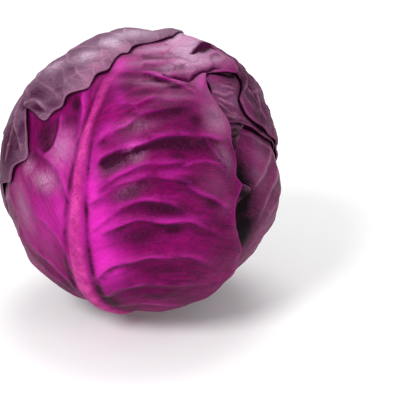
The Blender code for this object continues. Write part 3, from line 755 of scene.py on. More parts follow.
def past_margin(points, loop):
    """Degrees by which each direction lies outside a leaf's outline, negative inside it."""
    distance = np.abs(nearest_on_path(points, loop)[0])
    centre = unit(loop.mean(axis=0))
    east = unit(np.cross(centre, [0.3, 0.5, 0.8]))
    north = np.cross(centre, east)

    def flattened(vectors):
        depth = np.maximum(1 + vectors @ centre, 1e-3)
        return vectors @ east / depth, vectors @ north / depth

    px, py = flattened(points)
    qx, qy = flattened(loop)
    inside = np.zeros(len(points), bool)
    for x0, y0, x1, y1 in zip(qx, qy, qx[1:], qy[1:]):
        crosses = (y0 > py) != (y1 > py)
        rise = y1 - y0 if y1 != y0 else 1e-12
        inside ^= crosses & (px < (x1 - x0) * (py - y0) / rise + x0)
    return np.where(inside, -distance, distance)


def fade(value, full, none):
    """1 up to full, 0 from none on, and a smooth step between them."""
    share = np.clip((value - full) / (none - full), 0, 1)
    return 1 - share * share * (3 - 2 * share)


def bell(offset, width):
    """1 in the middle, and falling off softly to both sides over about this width."""
    return np.exp(-((offset / width) ** 2))


def latitude_of(points):
    return np.degrees(np.arcsin(np.clip(points[:, 2], -1, 1)))


def azimuth_of(points):
    return np.degrees(np.arctan2(points[:, 0], -points[:, 1]))


def waviness(points, pitch, octaves=3, shift=0.0):
    """Smooth noise over the head, about -1 to 1, with dents about a pitch across."""
    scale = HEAD_RADIUS / pitch
    offset = Vector((shift, 0, 0))
    return np.array([noise.fractal(Vector(p) * scale + offset, 1.0, 2.0, octaves) for p in points])


def wobbled(points):
    """Directions pushed about a little, so that the ridges drawn through them waver."""
    push = [noise.noise_vector(Vector(p) * HEAD_RADIUS / WOBBLE_PITCH) for p in points]
    return unit(points + np.array(push) * WOBBLE / HEAD_RADIUS)


def raised_by(lifts, points):
    """How far these lifts raise each direction in all."""
    height = np.zeros(len(points))
    for lift in lifts:
        distance = np.degrees(np.arccos(np.clip(points @ directions([lift.place])[0], -1, 1)))
        height = height + lift.height * fade(distance, 0, lift.reach)
    return height


def patch_mask(patch, points):
    centre = directions([patch.place])[0]
    azimuth, turn = math.radians(patch.place[0]), math.radians(patch.turn)
    east = np.array([math.cos(azimuth), math.sin(azimuth), 0])
    north = np.cross(centre, east)
    x, y = np.degrees(points @ east), np.degrees(points @ north)
    long = (x * math.cos(turn) + y * math.sin(turn)) / patch.wide
    short = (y * math.cos(turn) - x * math.sin(turn)) / patch.high
    facing = points @ centre > 0
    return patch.strength * np.exp(-(long**2) - short**2) * facing


class Lie:
    """Where a set of directions lies: past each leaf's margin, in degrees."""

    def __init__(self, points):
        self.points = points
        self.past = [past_margin(points, outline(leaf)) for leaf in LEAVES]

    def dense_head(self):
        """Radius of the dense head: the head's outside less the wrapper leaves over it."""
        tuck = 1 - fade(-latitude_of(self.points), -STEM_TUCK_START, -STEM_TUCK_END)
        covered = sum(fade(past, 0, SINK_FADE) for past in self.past)
        outside = HEAD_RADIUS + raised_by(SWELLS, self.points) - STEM_TUCK * tuck
        return outside - (BLADE + LEAF_GAP) * covered - self.gap()

    def gap(self):
        return GAP_DEPTH * patch_mask(GAP, self.points)

    def beneath(self, layer):
        """Radius at which the underside of the leaf in this layer lies on what is beneath it."""
        bridged = self.gap() if layer else 0
        covered = np.zeros(len(self.points))
        for past in self.past[:layer]:
            covered = covered + fade(past, COVER_FULL, COVER_FADE)
        return self.dense_head() + bridged + LEAF_GAP + (BLADE + LEAF_GAP) * covered

    def free(self, layer):
        """1 where no leaf covers this one, and 0 where one presses it flat."""
        share = np.ones(len(self.points))
        for past in self.past[layer + 1 :]:
            share = share * (1 - fade(past, PRESS_FULL, PRESS_FADE))
        return share

    def seam(self, layer):
        """Painted shadow: 1 along each line where the margin of a later leaf closes on this one."""
        lines = [bell(past, SEAM_SHADOW) for past in self.past[layer + 1 :]]
        return SEAM_SHADOW_SHARE * np.max(lines, axis=0) if lines else np.zeros(len(self.points))


def rib_shape(leaf, points):
    """The midrib's rounded rise with a furrow on each side, its mask, and its furrows' painted shade."""
    path = smooth_path(leaf.rib, MARGIN_SAMPLES)
    distance, along = nearest_on_path(points, path)
    shares, half_widths, heights = zip(*leaf.rib_sizes)
    half_width = np.interp(along, shares, half_widths) * MM
    height = np.interp(along, shares, heights) * MM
    off = np.radians(np.abs(distance)) * HEAD_RADIUS / half_width
    furrow = bell(off - RIB_FURROW_AT, RIB_FURROW_WIDTH)
    tone = RIB_PALE + (1 - RIB_PALE) * fade(along, *RIB_PALES)
    rise = height * (fade(off, *RIB_RISE) - RIB_FURROW_DEPTH * furrow)
    return rise, fade(off, *RIB_COLOUR) * tone, furrow * tone


def ridge_shape(ridge, points):
    """A ridge's rise and furrow depth, and masks of its painted light, its crest and its painted shade.
    """
    distance, along = nearest_on_path(points, smooth_path(ridge.places, RIDGE_SAMPLES))
    off = np.radians(distance) * HEAD_RADIUS / MM
    under = np.maximum(-off, 0)
    taper = (1 - fade(along, 0, RIDGE_SWELLS)) * fade(along, RIDGE_THINS, 1)
    size = (1 - (1 - ridge.thin_end) * along) * taper
    rise = ridge.height * size * bell(off, np.where(off > 0, ridge.above, ridge.below))
    strength = size * min(1, ridge.height)
    slope = strength * bell(off, np.where(off > 0, SLOPE_WIDTH * ridge.above, SLOPE_END))
    crest = strength * bell(off + CREST_AT, LINE_WIDTH)
    shade = strength * (1 - bell(under, LINE_WIDTH)) * bell(under, SHADE_WIDTH * ridge.below)
    gash = min(1, ridge.gash) * bell(off + ridge.below + GASH_AT, LINE_WIDTH)
    gash = gash * fade(along, GASH_THINS, 1)
    hollow = size * bell(off + FURROW_AT * ridge.below, FURROW_WIDTH * ridge.below)
    hollow = np.maximum(ridge.furrow * hollow, ridge.gash * gash)
    shade = np.maximum(shade * min(SHADE_MOST, SHADE_LEAST + ridge.furrow), GASH_SHADE * gash)
    return rise * MM, hollow * MM, ridge.tone * slope, ridge.tone * crest, shade


def reach_of(ridge):
    """The cosine of the angle from a ridge's middle within which it raises or colours a leaf."""
    ends = directions(ridge.places)
    half = np.arccos(np.clip(ends @ unit(ends.mean(axis=0)), -1, 1)).max()
    return math.cos(min(math.pi, half + RIDGE_MARGIN / HEAD_RADIUS))


def lateral_ridges(leaf):
    """Side veins that leave the midrib by turns, and rise towards the margins."""
    rib = smooth_path(leaf.rib, MARGIN_SAMPLES)
    shares = np.linspace(0, 1, 8)
    for turn, margin in enumerate((leaf.left, leaf.right)):
        edge = smooth_path(margin, MARGIN_SAMPLES)
        for k in range(leaf.laterals):
            place = (k + 0.25 + 0.5 * turn) / leaf.laterals
            start = LATERAL_START + (LATERAL_END - LATERAL_START) * place
            rows = ((start + LATERAL_RISE * shares**LATERAL_CURVE) * (MARGIN_SAMPLES - 1)).astype(int)
            rows = np.minimum(rows, MARGIN_SAMPLES - 1)
            line = over_leaf(rib[rows], rib[rows], edge[rows], shares)[:7]
            places = list(zip(azimuth_of(line), latitude_of(line)))
            yield Ridge(places, leaf.lateral_height, above=2.2, below=1.6, furrow=0.3)


def creases(points, pitch, shift):
    """Thin crossing lines, 1 on a line, as where a leaf is crumpled."""
    return np.clip(1 - CREASE_THINNESS * np.abs(waviness(points, pitch, 2, shift)), 0, 1) ** 2


class Skin:
    """A leaf's outer surface: how far it rises over its blade, and the masks that colour it."""

    MASKS = ("rib", "slope", "crest", "furrow", "crease", "dark", "vivid", "mauve", "bloom", "margin")

    def __init__(self, leaf, points, across, shift):
        zero = np.zeros(len(points))
        self.masks = {name: zero.copy() for name in self.MASKS}
        rib_rise, self.masks["rib"], rib_furrow = rib_shape(leaf, points)
        ridge_rise, ridge_hollow = zero.copy(), zero.copy()
        # Painted light on the upper side of each ridge, and painted shade below it and beside the midrib
        slope, crest, furrow = zero.copy(), zero.copy(), RIB_SHADE * rib_furrow
        bent = wobbled(points)
        for ridge in (*leaf.ridges, *lateral_ridges(leaf)):
            near = points @ unit(directions(ridge.places).mean(axis=0)) > reach_of(ridge)
            rise, hollow, bright, line, shade = ridge_shape(ridge, bent[near])
            ridge_rise[near] = np.maximum(ridge_rise[near], rise)
            ridge_hollow[near] = np.maximum(ridge_hollow[near], hollow)
            slope[near] = np.maximum(slope[near], bright)
            crest[near] = np.maximum(crest[near], line)
            furrow[near] = np.maximum(furrow[near], shade)
        self.masks["slope"] = slope
        self.masks["crest"] = crest
        self.masks["furrow"] = furrow * (1 - SLOPE_CLEARS * slope)
        self.masks["crease"] = creases(points, leaf.net_pitch, shift)
        for colour, patches in leaf.patches.items():
            spots = [patch_mask(patch, points) for patch in patches]
            self.masks[colour] = np.max([self.masks[colour], *spots], axis=0)
        self.masks["margin"] = fade(1 - np.abs(across), 0, MARGIN_LINE)
        off_rib = 1 - self.masks["rib"]
        dents = waviness(points, leaf.crumple_pitch, 3, shift + DENT_SHIFT) * leaf.crumple * MM
        net = self.masks["crease"] * leaf.net * MM
        self.rise = np.maximum(rib_rise, ridge_rise) - ridge_hollow * off_rib + (dents + net) * off_rib


def vein_coordinates(leaf, points, across, along):
    """Coordinates that run across and along the side veins, in metres."""
    if leaf.name != "leaf_front":
        arch = LATERAL_RISE * np.abs(across) ** LATERAL_CURVE
        return np.stack([across * PLAIN_HALF_WIDTH, (along - arch) * PLAIN_LENGTH, 0 * along], axis=1)
    past_rib = azimuth_of(points) - FRONT_RIB_AZIMUTH
    arch = FRONT_ARCH * np.sin(math.pi * np.clip(past_rib / FRONT_SPAN, 0, 1))
    arch = arch - FRONT_FALL * np.minimum(past_rib, 0)
    level = np.radians(latitude_of(points) - arch) * HEAD_RADIUS
    return np.stack([np.radians(azimuth_of(points)) * HEAD_RADIUS, level, 0 * level], axis=1)


def standing_off(leaf, points, across, along):
    """How far a leaf stands off what it lies on, at its waved margins and its lifted stretches."""
    wave = 1 + np.sin(math.tau * RUFFLES * along + RUFFLE_SLANT * across)
    ruffle = RUFFLE_HEIGHT * wave * np.abs(across) ** RUFFLE_POWER
    to_margin = np.minimum(1 - np.abs(across), 1 - along)
    return ruffle - MARGIN_PRESS * fade(to_margin, 0, MARGIN_SHARE) + raised_by(leaf.lifts, points)


def ragged(across, along, layer):
    """The same places across a leaf, with those near its margins moved in and out a little."""
    rags = [noise.noise(Vector((RAGS_ALONG * s, 3 * layer, x))) for s, x in zip(along, np.sign(across))]
    return across * (1 + RAGGEDNESS * np.array(rags) * np.abs(across) ** RAG_POWER)


def build_leaf(layer, leaf, material):
    """One leaf: a flat grid laid on what is beneath it, and its copy raised by blade and ribs."""
    sheet = bmesh.new()
    grid_place = sheet.verts.layers.int.new("grid_place")
    bmesh.ops.create_grid(sheet, x_segments=leaf.columns, y_segments=leaf.rows, size=1)
    sheet.verts.index_update()

    flat = np.array([vertex.co[:] for vertex in sheet.verts])
    along = ((flat[:, 1] + 1) / 2) ** leaf.row_crowding
    across = np.sign(flat[:, 0]) * np.abs(flat[:, 0]) ** leaf.crowding
    samples = SAMPLES_A_ROW * leaf.rows
    left, rib, right = (smooth_path(path, samples + 1) for path in (leaf.left, leaf.rib, leaf.right))
    row = np.rint(samples * along).astype(int)
    points = over_leaf(left[row], rib[row], right[row], ragged(across, along, layer))

    lie = Lie(points)
    free = lie.free(layer)
    skin = Skin(leaf, points, across, LAYER_SHIFT * layer)
    # The painted shadow along later leaves' margins joins the dark spots
    skin.masks["dark"] = np.maximum(skin.masks["dark"], lie.seam(layer))
    under = lie.beneath(layer) + standing_off(leaf, points, across, along) * free
    over = under + BLADE + np.maximum(skin.rise, -DEEPEST_DENT) * free
    under = under + np.minimum(skin.rise + UNDERSIDE_CLEAR, 0) * free
    inner = points * under[:, None]
    outer = points * over[:, None]

    for vertex in sheet.verts:
        vertex[grid_place] = vertex.index
        vertex.co = inner[vertex.index]
    raised = bmesh.ops.extrude_face_region(sheet, geom=sheet.faces[:], use_keep_orig=True)
    for item in raised["geom"]:
        if isinstance(item, bmesh.types.BMVert):
            item.co = outer[item[grid_place]]
    bmesh.ops.recalc_face_normals(sheet, faces=sheet.faces[:])
    bmesh.ops.translate(sheet, verts=sheet.verts[:], vec=(0, 0, HEAD_HEIGHT))
    body = finished(leaf.name + "_blade", sheet, material, leaf.name, leaf.slot)
    colour_masks(body, skin.masks, free, vein_coordinates(leaf, points, across, along))


def colour_masks(body, masks, free, coordinates):
    """Stores on a leaf's mesh the masks and coordinates that its material reads."""
    place = np.zeros(len(body.data.vertices), np.int32)
    body.data.attributes["grid_place"].data.foreach_get("value", place)
    for name, mask in masks.items():
        shown = mask * (free if name in ("rib", "crest", "furrow") else 1)
        values = np.clip(shown, 0, STRONGEST_MASK)[place]
        layer = body.data.attributes.new(name, "FLOAT", "POINT")
        layer.data.foreach_set("value", values.astype(np.float32))
    veins = body.data.attributes.new("veins", "FLOAT_VECTOR", "POINT")
    veins.data.foreach_set("vector", coordinates[place].astype(np.float32).ravel())


def finished(name, shape, material, node, slot):
    """Makes a named, smooth-shaded piece that stands for a node of the frame."""
    mesh = bpy.data.meshes.new(name)
    shape.to_mesh(mesh)
    shape.free()
    mesh.shade_smooth()
    mesh.set_sharp_from_angle(angle=math.radians(SHARP_ANGLE))
    mesh.materials.append(material)
    body = bpy.data.objects.new(name, mesh)
    bpy.context.scene.collection.objects.link(body)
    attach(body, "root")
    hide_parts(node)
    return body


# The dense head's own leaf margins, as low steps that spiral up to the crown
HEAD_SIDES = 140
HEAD_RINGS = 90
HEAD_STEP = 0.0009
HEAD_SPIRALS = 3
HEAD_STEP_PITCH = 150.0
HEAD_STEP_FADE = (62, 80)


def build_dense_head(material):
    """The tightly packed inner leaves as one body."""
    ball = bmesh.new()
    bmesh.ops.create_uvsphere(ball, u_segments=HEAD_SIDES, v_segments=HEAD_RINGS, radius=1)
    ball.verts.index_update()
    points = unit(np.array([vertex.co[:] for vertex in ball.verts]))
    latitude = latitude_of(points)
    turn = np.mod(azimuth_of(points) * HEAD_SPIRALS / 360 + latitude / HEAD_STEP_PITCH, 1)
    step = HEAD_STEP * turn * fade(np.abs(latitude), *HEAD_STEP_FADE)
    radius = Lie(points).dense_head() - step
    for vertex in ball.verts:
        vertex.co = points[vertex.index] * radius[vertex.index]
    bmesh.ops.translate(ball, verts=ball.verts[:], vec=(0, 0, HEAD_HEIGHT))
    bmesh.ops.recalc_face_normals(ball, faces=ball.faces[:])
    finished("dense_head_heart", ball, material, "dense_head", "packed_leaf")


# The stem's outer side from its cut face to its root, as (radius, height) pairs in millimetres
STEM_PROFILE = (
    (0.0, 0.35), (3.2, 0.32), (6.0, 0.12), (9.0, 0.05), (12.2, 0.0), (13.7, 0.0), (14.3, 0.5),
    (15.0, 2.4), (15.3, 4.5), (14.2, 7.6), (11.6, 11.2), (9.6, 16.0), (8.0, 22.0), (7.0, 29.0),
    (0.0, 29.0),
)
STEM_SIDES = 120
STEM_LOBES = 5

# How deep the stem's lobes and the scars of its leaves go, as shares of its radius
STEM_LOBE_DEPTH = 0.035
STEM_SCAR_DEPTH = 0.02
STEM_SCAR_SCALE = 260
STEM_SCARS_FULL = 0.002

# The cut face is a little uneven inside this radius and up to this height
CUT_RADIUS = 0.0128
CUT_HEIGHT = 0.0006
CUT_UNEVEN = 0.00012
CUT_SCALE = 900


def build_stem(material):
    """The cut stem: a lightly lobed turned body with a shallow pith and ridges where leaves came off."""
    body = bmesh.new()
    line = [body.verts.new((radius * MM, 0, height * MM)) for radius, height in STEM_PROFILE]
    edges = [body.edges.new(pair) for pair in zip(line, line[1:])]
    bmesh.ops.subdivide_edges(body, edges=edges, cuts=3)
    bmesh.ops.spin(
        body,
        geom=body.verts[:] + body.edges[:],
        axis=(0, 0, 1),
        cent=(0, 0, 0),
        steps=STEM_SIDES,
        angle=math.tau,
        use_merge=True,
    )
    bmesh.ops.remove_doubles(body, verts=body.verts[:], dist=1e-6)
    bmesh.ops.recalc_face_normals(body, faces=body.faces[:])
    for vertex in body.verts:
        turn = math.atan2(vertex.co.y, vertex.co.x)
        lobes = 1 - STEM_LOBE_DEPTH * (0.5 + 0.5 * math.cos(STEM_LOBES * turn))
        scar = noise.noise(vertex.co * STEM_SCAR_SCALE) * min(1, vertex.co.z / STEM_SCARS_FULL)
        vertex.co.xy = vertex.co.xy * (lobes + STEM_SCAR_DEPTH * scar)
        if 0 < vertex.co.z < CUT_HEIGHT and vertex.co.xy.length < CUT_RADIUS:
            vertex.co.z = max(0, vertex.co.z + CUT_UNEVEN * noise.noise(vertex.co * CUT_SCALE))
    finished("stem_cut", body, material, "stem", "stem")


STUDIO_LIGHT = 0.84


def tint(red, green, blue):
    """A colour given as 0 to 255 on screen, as the linear values that shaders work in."""
    return tuple(((value / 255 + 0.055) / 1.055) ** 2.4 for value in (red, green, blue)) + (1.0,)


def seen(red, green, blue):
    """The colour that a leaf needs in order to look like this on screen in the studio light."""
    return tuple(STUDIO_LIGHT * value for value in tint(red, green, blue)[:3]) + (1.0,)


class Link:
    """A shader node's output. Python's operators on it add Math nodes."""

    def __init__(self, finish, socket):
        self.finish = finish
        self.socket = socket

    def maths(self, operation, *values):
        return self.finish.node("ShaderNodeMath", {"operation": operation}, dict(enumerate(values)))

    def __add__(self, other):
        return self.maths("ADD", self, other)

    __radd__ = __add__

    def __mul__(self, other):
        return self.maths("MULTIPLY", self, other)

    __rmul__ = __mul__

    def __sub__(self, other):
        return self.maths("SUBTRACT", self, other)

    def __rsub__(self, other):
        return self.maths("SUBTRACT", other, self)

    def between(self, low, high):
        """0 below low, 1 above high, and a smooth step between them."""
        return self.finish.node(
            "ShaderNodeMapRange",
            {"interpolation_type": "SMOOTHSTEP"},
            {"Value": self, "From Min": low, "From Max": high},
        )


class Finish:
    """A material, whose node graph is written as expressions on Links."""

    def __init__(self, name):
        self.material = bpy.data.materials.new(name)
        self.material.use_nodes = True
        self.tree = self.material.node_tree
        self.shader = self.tree.nodes["Principled BSDF"]
        self.place = self.node("ShaderNodeTexCoord", {}, {}, "Object")

    def node(self, kind, settings, inputs, output=0):
        """Adds a node: its settings first, then the values or links of its sockets."""
        node = self.tree.nodes.new(kind)
        for setting, value in settings.items():
            setattr(node, setting, value)
        for name, value in inputs.items():
            self.feed(node.inputs[name], value)
        return Link(self, node.outputs[output])

    def feed(self, socket, value):
        if isinstance(value, Link):
            self.tree.links.new(value.socket, socket)
        else:
            socket.default_value = value

    def vectors(self, operation, *values, output=0):
        """A Vector Math node on these values."""
        inputs = dict(enumerate(values))
        return self.node("ShaderNodeVectorMath", {"operation": operation}, inputs, output)

    def mask(self, name):
        return self.node("ShaderNodeAttribute", {"attribute_name": name}, {}, "Fac")

    def along_veins(self, across, along):
        """The coordinates that follow the side veins, stretched by these two factors."""
        veins = self.node("ShaderNodeAttribute", {"attribute_name": "veins"}, {}, "Vector")
        return self.vectors("MULTIPLY", veins, (across, along, 1))

    def clouds(self, scale, detail=4, roughness=0.55, distortion=0.0, place=None):
        """Noise about 0 to 1, at so many features a metre."""
        sockets = {"Vector": place or self.place, "Scale": scale, "Detail": detail}
        sockets |= {"Roughness": roughness, "Distortion": distortion}
        return self.node("ShaderNodeTexNoise", {}, sockets)

    def cells(self, scale, feature, output, place):
        sockets = {"Vector": place, "Scale": scale}
        return self.node("ShaderNodeTexVoronoi", {"feature": feature}, sockets, output)

    def blend(self, share, first, second):
        """The first colour, and the second where the share is 1."""
        settings = {"data_type": "RGBA", "clamp_factor": True}
        return self.node("ShaderNodeMix", settings, {0: share, 6: first, 7: second}, 2)

    def bump(self, height, distance, strength, under=None):
        sockets = {"Height": height, "Distance": distance, "Strength": strength}
        if under:
            sockets["Normal"] = under
        return self.node("ShaderNodeBump", {}, sockets)

    def set(self, **values):
        """Feeds the shader's sockets, whose names are written with _ for a space."""
        for name, value in values.items():
            self.feed(self.shader.inputs[name.replace("_", " ")], value)
        return self.material


# How dark the fine worn flecks are, on every leaf
WEAR = 0.22


@dataclass
class Palette:
    """The colours of a leaf's skin as they look in the studio light, and how its parts show.

    The shares say how strongly the painted light on its ridges' upper sides, its bright crests, the
    painted shade in its furrows, its strokes of bloom, rim, creases and veinlets show, and dust how
    thickly bloom lies between its spots, some of which are painted sheen.
    """

    body: tuple
    deep: tuple
    vivid: tuple
    mauve: tuple
    dark: tuple
    slope: tuple
    crest: tuple
    rib: tuple
    bloom: tuple
    slope_share: float = 0.6
    crest_share: float = 0.7
    furrow_share: float = 0.9
    stroke_share: float = 0.0
    margin_share: float = 0.5
    crease_share: float = 0.0
    cell_share: float = 0.03
    dust_and_sheen: float = 0.0
    roughness: float = 0.44


# Features a metre of the patterns in a leaf's skin, and of those that follow its veins, as
# (across, along) them
MOTTLE_SCALE = 55
PATCHY_SCALE = 150
GRAIN_SCALE = 1500
STREAK_SCALES = (75, 360)
STROKE_SCALES = (1500, 330)
FINE_SCALES = (420, 2100)
CELL_SCALE = 66
SMALL_CELL_SCALE = 260

# The cells' outlines are pushed about by noise, by up to half of this many metres each way
WARP_SCALE = 90
WARP = (0.008, 0.008, 0.008)

# How high the skin's grain and streaks stand for the light, and how much of it the skin throws back
GRAIN_HEIGHT = 0.0002
STREAK_HEIGHT = 0.0008
SKIN_SHINE = 0.04


class LeafFinish(Finish):
    """A waxy leaf skin: mottled body, coloured spots, painted light and shade, bloom and painted sheen.
    """

    def __init__(self, name, palette):
        super().__init__(name)
        self.palette = palette
        self.mottle = self.clouds(MOTTLE_SCALE, 6, 0.6)
        self.patchy = self.clouds(PATCHY_SCALE, 5, 0.65)
        self.grain = self.clouds(GRAIN_SCALE, 3, 0.6)
        self.streaks = self.clouds(1.0, 6, 0.62, 0.6, self.along_veins(*STREAK_SCALES))
        self.strokes = self.clouds(1.0, 4, 0.7, 0.3, self.along_veins(*STROKE_SCALES))
        self.fine = self.clouds(1.0, 4, 0.65, 0.2, self.along_veins(*FINE_SCALES))
        self.uneven = 0.25 + self.mottle.between(0.36, 0.62)
        self.rib = self.mask("rib")
        warped = self.warped_place()
        self.cell_edge = self.cells(CELL_SCALE, "DISTANCE_TO_EDGE", "Distance", warped)
        self.cell_tone = self.cells(CELL_SCALE, "F1", "Color", warped)
        small_edge = self.cells(SMALL_CELL_SCALE, "DISTANCE_TO_EDGE", "Distance", warped)
        self.veinlet = 1 - self.cell_edge.between(0.0, 0.05)
        self.small_veinlet = 1 - small_edge.between(0.0, 0.08)

    def warped_place(self):
        """The place on the object, pushed about by noise so that cells don't look drawn."""
        sockets = {"Vector": self.place, "Scale": WARP_SCALE, "Detail": 2}
        wobble = self.node("ShaderNodeTexNoise", {}, sockets, "Color")
        centred = self.vectors("SUBTRACT", wobble, (0.5, 0.5, 0.5))
        return self.vectors("ADD", self.place, self.vectors("MULTIPLY", centred, WARP))

    def spotted_body(self):
        """The mottled body with its vivid and mauve spots, and the painted light on ridges' upper sides.
        """
        palette = self.palette
        depth = (0.4 * self.mottle + 0.4 * self.streaks + 0.2 * self.fine).between(0.38, 0.60)
        colour = self.blend(depth, palette.deep, palette.body)
        colour = self.blend(self.mask("vivid") * (0.35 + 0.8 * self.streaks), colour, palette.vivid)
        colour = self.blend(self.mask("mauve") * (0.25 + 0.9 * self.patchy), colour, palette.mauve)
        bright = self.mask("slope") * palette.slope_share * self.uneven * (0.15 + 1.2 * self.streaks)
        return self.blend(bright, colour, palette.slope)

    def webbed(self, colour):
        """Pale creases and veinlets, and painted shade inside each cell's edge."""
        palette = self.palette
        web = palette.cell_share * (self.veinlet + 0.4 * self.small_veinlet)
        web = self.mask("crease") * palette.crease_share + web
        colour = self.blend(web, colour, palette.crest)
        edge = palette.cell_share * self.cell_edge.between(0.13, 0.05) * (1 - self.veinlet)
        return self.blend(edge, colour, palette.deep)

    def dust_and_sheen(self):
        """How thickly bloom lies: thick in spots, some of them painted sheen, thin and uneven cell to
        cell.
        """
        speckle = 0.25 + 0.75 * (0.4 * self.grain + 0.6 * self.strokes).between(0.36, 0.66)
        cell_light = self.node("ShaderNodeSeparateColor", {}, {"Color": self.cell_tone}, "Red")
        thin = self.palette.dust_and_sheen * (0.45 + 0.4 * cell_light) * (0.4 + self.patchy)
        return self.mask("bloom") * speckle + thin

    def shaded(self, colour):
        """Painted shade below ridges, dark spots that are partly painted shade, strokes of bloom, bright
        crests.
        """
        palette = self.palette
        shade = self.mask("furrow") * palette.furrow_share * self.uneven * (0.45 + 0.9 * self.streaks)
        hollow = self.mask("dark") * (0.25 + 0.5 * self.streaks + 0.7 * self.patchy)
        worn = self.fine.between(0.62, 0.32) * WEAR
        colour = self.blend((shade + hollow + worn) * (1 - 0.8 * self.rib), colour, palette.dark)
        strokes = (hollow + 0.4 * shade) * self.strokes.between(0.5, 0.72) * palette.stroke_share
        colour = self.blend(strokes, colour, palette.bloom)
        crest = self.mask("crest") * palette.crest_share * self.uneven * (0.1 + 1.1 * self.patchy)
        return self.blend(crest, colour, palette.crest)

    def ribbed(self, colour):
        """The midrib, clouded with the body's colour, and the leaf's pale rim."""
        palette = self.palette
        clouded = (0.4 * self.fine + 0.2 * self.grain + 0.4 * self.patchy).between(0.30, 0.70)
        rib_colour = self.blend(clouded, palette.rib, palette.body)
        colour = self.blend(self.rib * (0.55 + 0.6 * (1 - clouded)), colour, rib_colour)
        return self.blend(self.mask("margin") * palette.margin_share, colour, palette.slope)

    def relief(self):
        """The bump of the skin's grain over that of its streaks."""
        grain = 0.5 * self.fine + 0.2 * self.grain + 0.3 * self.strokes
        normal = self.bump(grain, GRAIN_HEIGHT, 0.5)
        return self.bump(self.streaks + 0.4 * self.patchy, STREAK_HEIGHT, 0.5, normal)


def leaf_finish(name, palette):
    skin = LeafFinish(name, palette)
    # Dusty bloom, with painted sheen in some of its spots
    dust_and_sheen = skin.dust_and_sheen()
    colour = skin.webbed(skin.spotted_body())
    colour = skin.blend(dust_and_sheen * (1 - 0.5 * skin.veinlet), colour, palette.bloom)
    return skin.set(
        Base_Color=skin.ribbed(skin.shaded(colour)),
        Roughness=palette.roughness + 0.2 * (skin.patchy - 0.5) + 0.3 * dust_and_sheen,
        Normal=skin.relief(),
        Specular_IOR_Level=SKIN_SHINE,
    )


FRONT_PALETTE = Palette(
    body=seen(144, 2, 102),
    deep=seen(90, 0, 62),
    vivid=seen(238, 44, 196),
    mauve=seen(148, 80, 124),
    dark=seen(56, 0, 38),
    slope=seen(212, 62, 172),
    crest=seen(222, 30, 184),
    rib=seen(230, 78, 172),
    bloom=seen(212, 168, 200),
    slope_share=0.45,
    crest_share=0.40,
    stroke_share=0.05,
    margin_share=0.2,
    roughness=0.40,
)

CROWN_PALETTE = Palette(
    body=seen(106, 52, 90),
    deep=seen(84, 36, 70),
    vivid=seen(196, 110, 158),
    mauve=seen(164, 104, 142),
    dark=seen(64, 18, 50),
    slope=seen(168, 110, 146),
    crest=seen(200, 150, 174),
    rib=seen(180, 110, 146),
    bloom=seen(210, 180, 204),
    slope_share=0.3,
    furrow_share=0.5,
    cell_share=0.30,
    dust_and_sheen=0.26,
    roughness=0.55,
)

SHOULDER_PALETTE = Palette(
    body=seen(112, 44, 86),
    deep=seen(76, 18, 56),
    vivid=seen(160, 52, 130),
    mauve=seen(140, 74, 120),
    dark=seen(24, 0, 14),
    slope=seen(144, 72, 118),
    crest=seen(186, 120, 158),
    rib=seen(154, 74, 122),
    bloom=seen(122, 92, 120),
    crease_share=0.08,
    cell_share=0.10,
    dust_and_sheen=0.08,
    roughness=0.48,
)

# Its dark is nearly black, for the painted shade in the gap beside the front leaf's margin
SIDE_PALETTE = Palette(
    body=seen(122, 34, 88),
    deep=seen(80, 12, 58),
    vivid=seen(150, 18, 112),
    mauve=seen(134, 80, 114),
    dark=seen(16, 0, 10),
    slope=seen(150, 80, 122),
    crest=seen(196, 126, 162),
    rib=seen(172, 74, 132),
    bloom=seen(124, 112, 128),
    cell_share=0.07,
    dust_and_sheen=0.06,
    roughness=0.45,
)

PACKED_PALETTE = Palette(
    body=seen(80, 16, 60),
    deep=seen(42, 2, 32),
    vivid=seen(130, 24, 100),
    mauve=seen(110, 60, 96),
    dark=seen(16, 0, 10),
    slope=seen(110, 44, 86),
    crest=seen(140, 64, 112),
    rib=seen(140, 64, 112),
    bloom=seen(120, 100, 126),
    dust_and_sheen=0.1,
)


# The cut stem from its middle outwards, in metres: between which radii the ring of wood comes and
# goes, and the purple rind comes. Up its side the cut's colours give way over these heights
RING_COMES = (0.0072, 0.0086)
RING_GOES = (0.0092, 0.0108)
RIND_COMES = (0.0120, 0.0136)
RIND_WAVER = 0.0012
SIDE_COMES = (0.0006, 0.0060)

PITH = tint(226, 216, 188)
PALE_PITH = tint(242, 236, 214)
WOOD = tint(204, 186, 140)
RIND = tint(150, 96, 110)
PALE_SIDE = tint(196, 160, 150)
PURPLE_SIDE = tint(140, 64, 108)
DRY_SPOT = tint(150, 120, 84)


def stem_finish():
    """Cut flesh: cream pith with fibres, a ring of wood and a purple rind that runs up the side."""
    skin = Finish("stem_flesh")
    height = skin.node("ShaderNodeSeparateXYZ", {}, {"Vector": skin.place}, "Z")
    radius = skin.vectors("LENGTH", skin.vectors("MULTIPLY", skin.place, (1, 1, 0)), output="Value")
    fibres = skin.clouds(900, 5, 0.7)
    blotch = skin.clouds(180, 4, 0.6)
    ring = radius.between(*RING_COMES) * (1 - radius.between(*RING_GOES))
    rind = (radius + RIND_WAVER * (blotch - 0.5)).between(*RIND_COMES)
    colour = skin.blend(fibres.between(0.35, 0.65), PITH, PALE_PITH)
    colour = skin.blend(ring * 0.55 * (0.4 + blotch), colour, WOOD)
    colour = skin.blend(rind * 0.75, colour, RIND)
    side = skin.blend(blotch.between(0.35, 0.65), PALE_SIDE, PURPLE_SIDE)
    colour = skin.blend(height.between(*SIDE_COMES), colour, side)
    colour = skin.blend(blotch.between(0.62, 0.8) * 0.35, colour, DRY_SPOT)
    normal = skin.bump(fibres + blotch, 0.0004, 0.6)
    return skin.set(Base_Color=colour, Roughness=0.62 + 0.2 * (blotch - 0.5), Normal=normal)


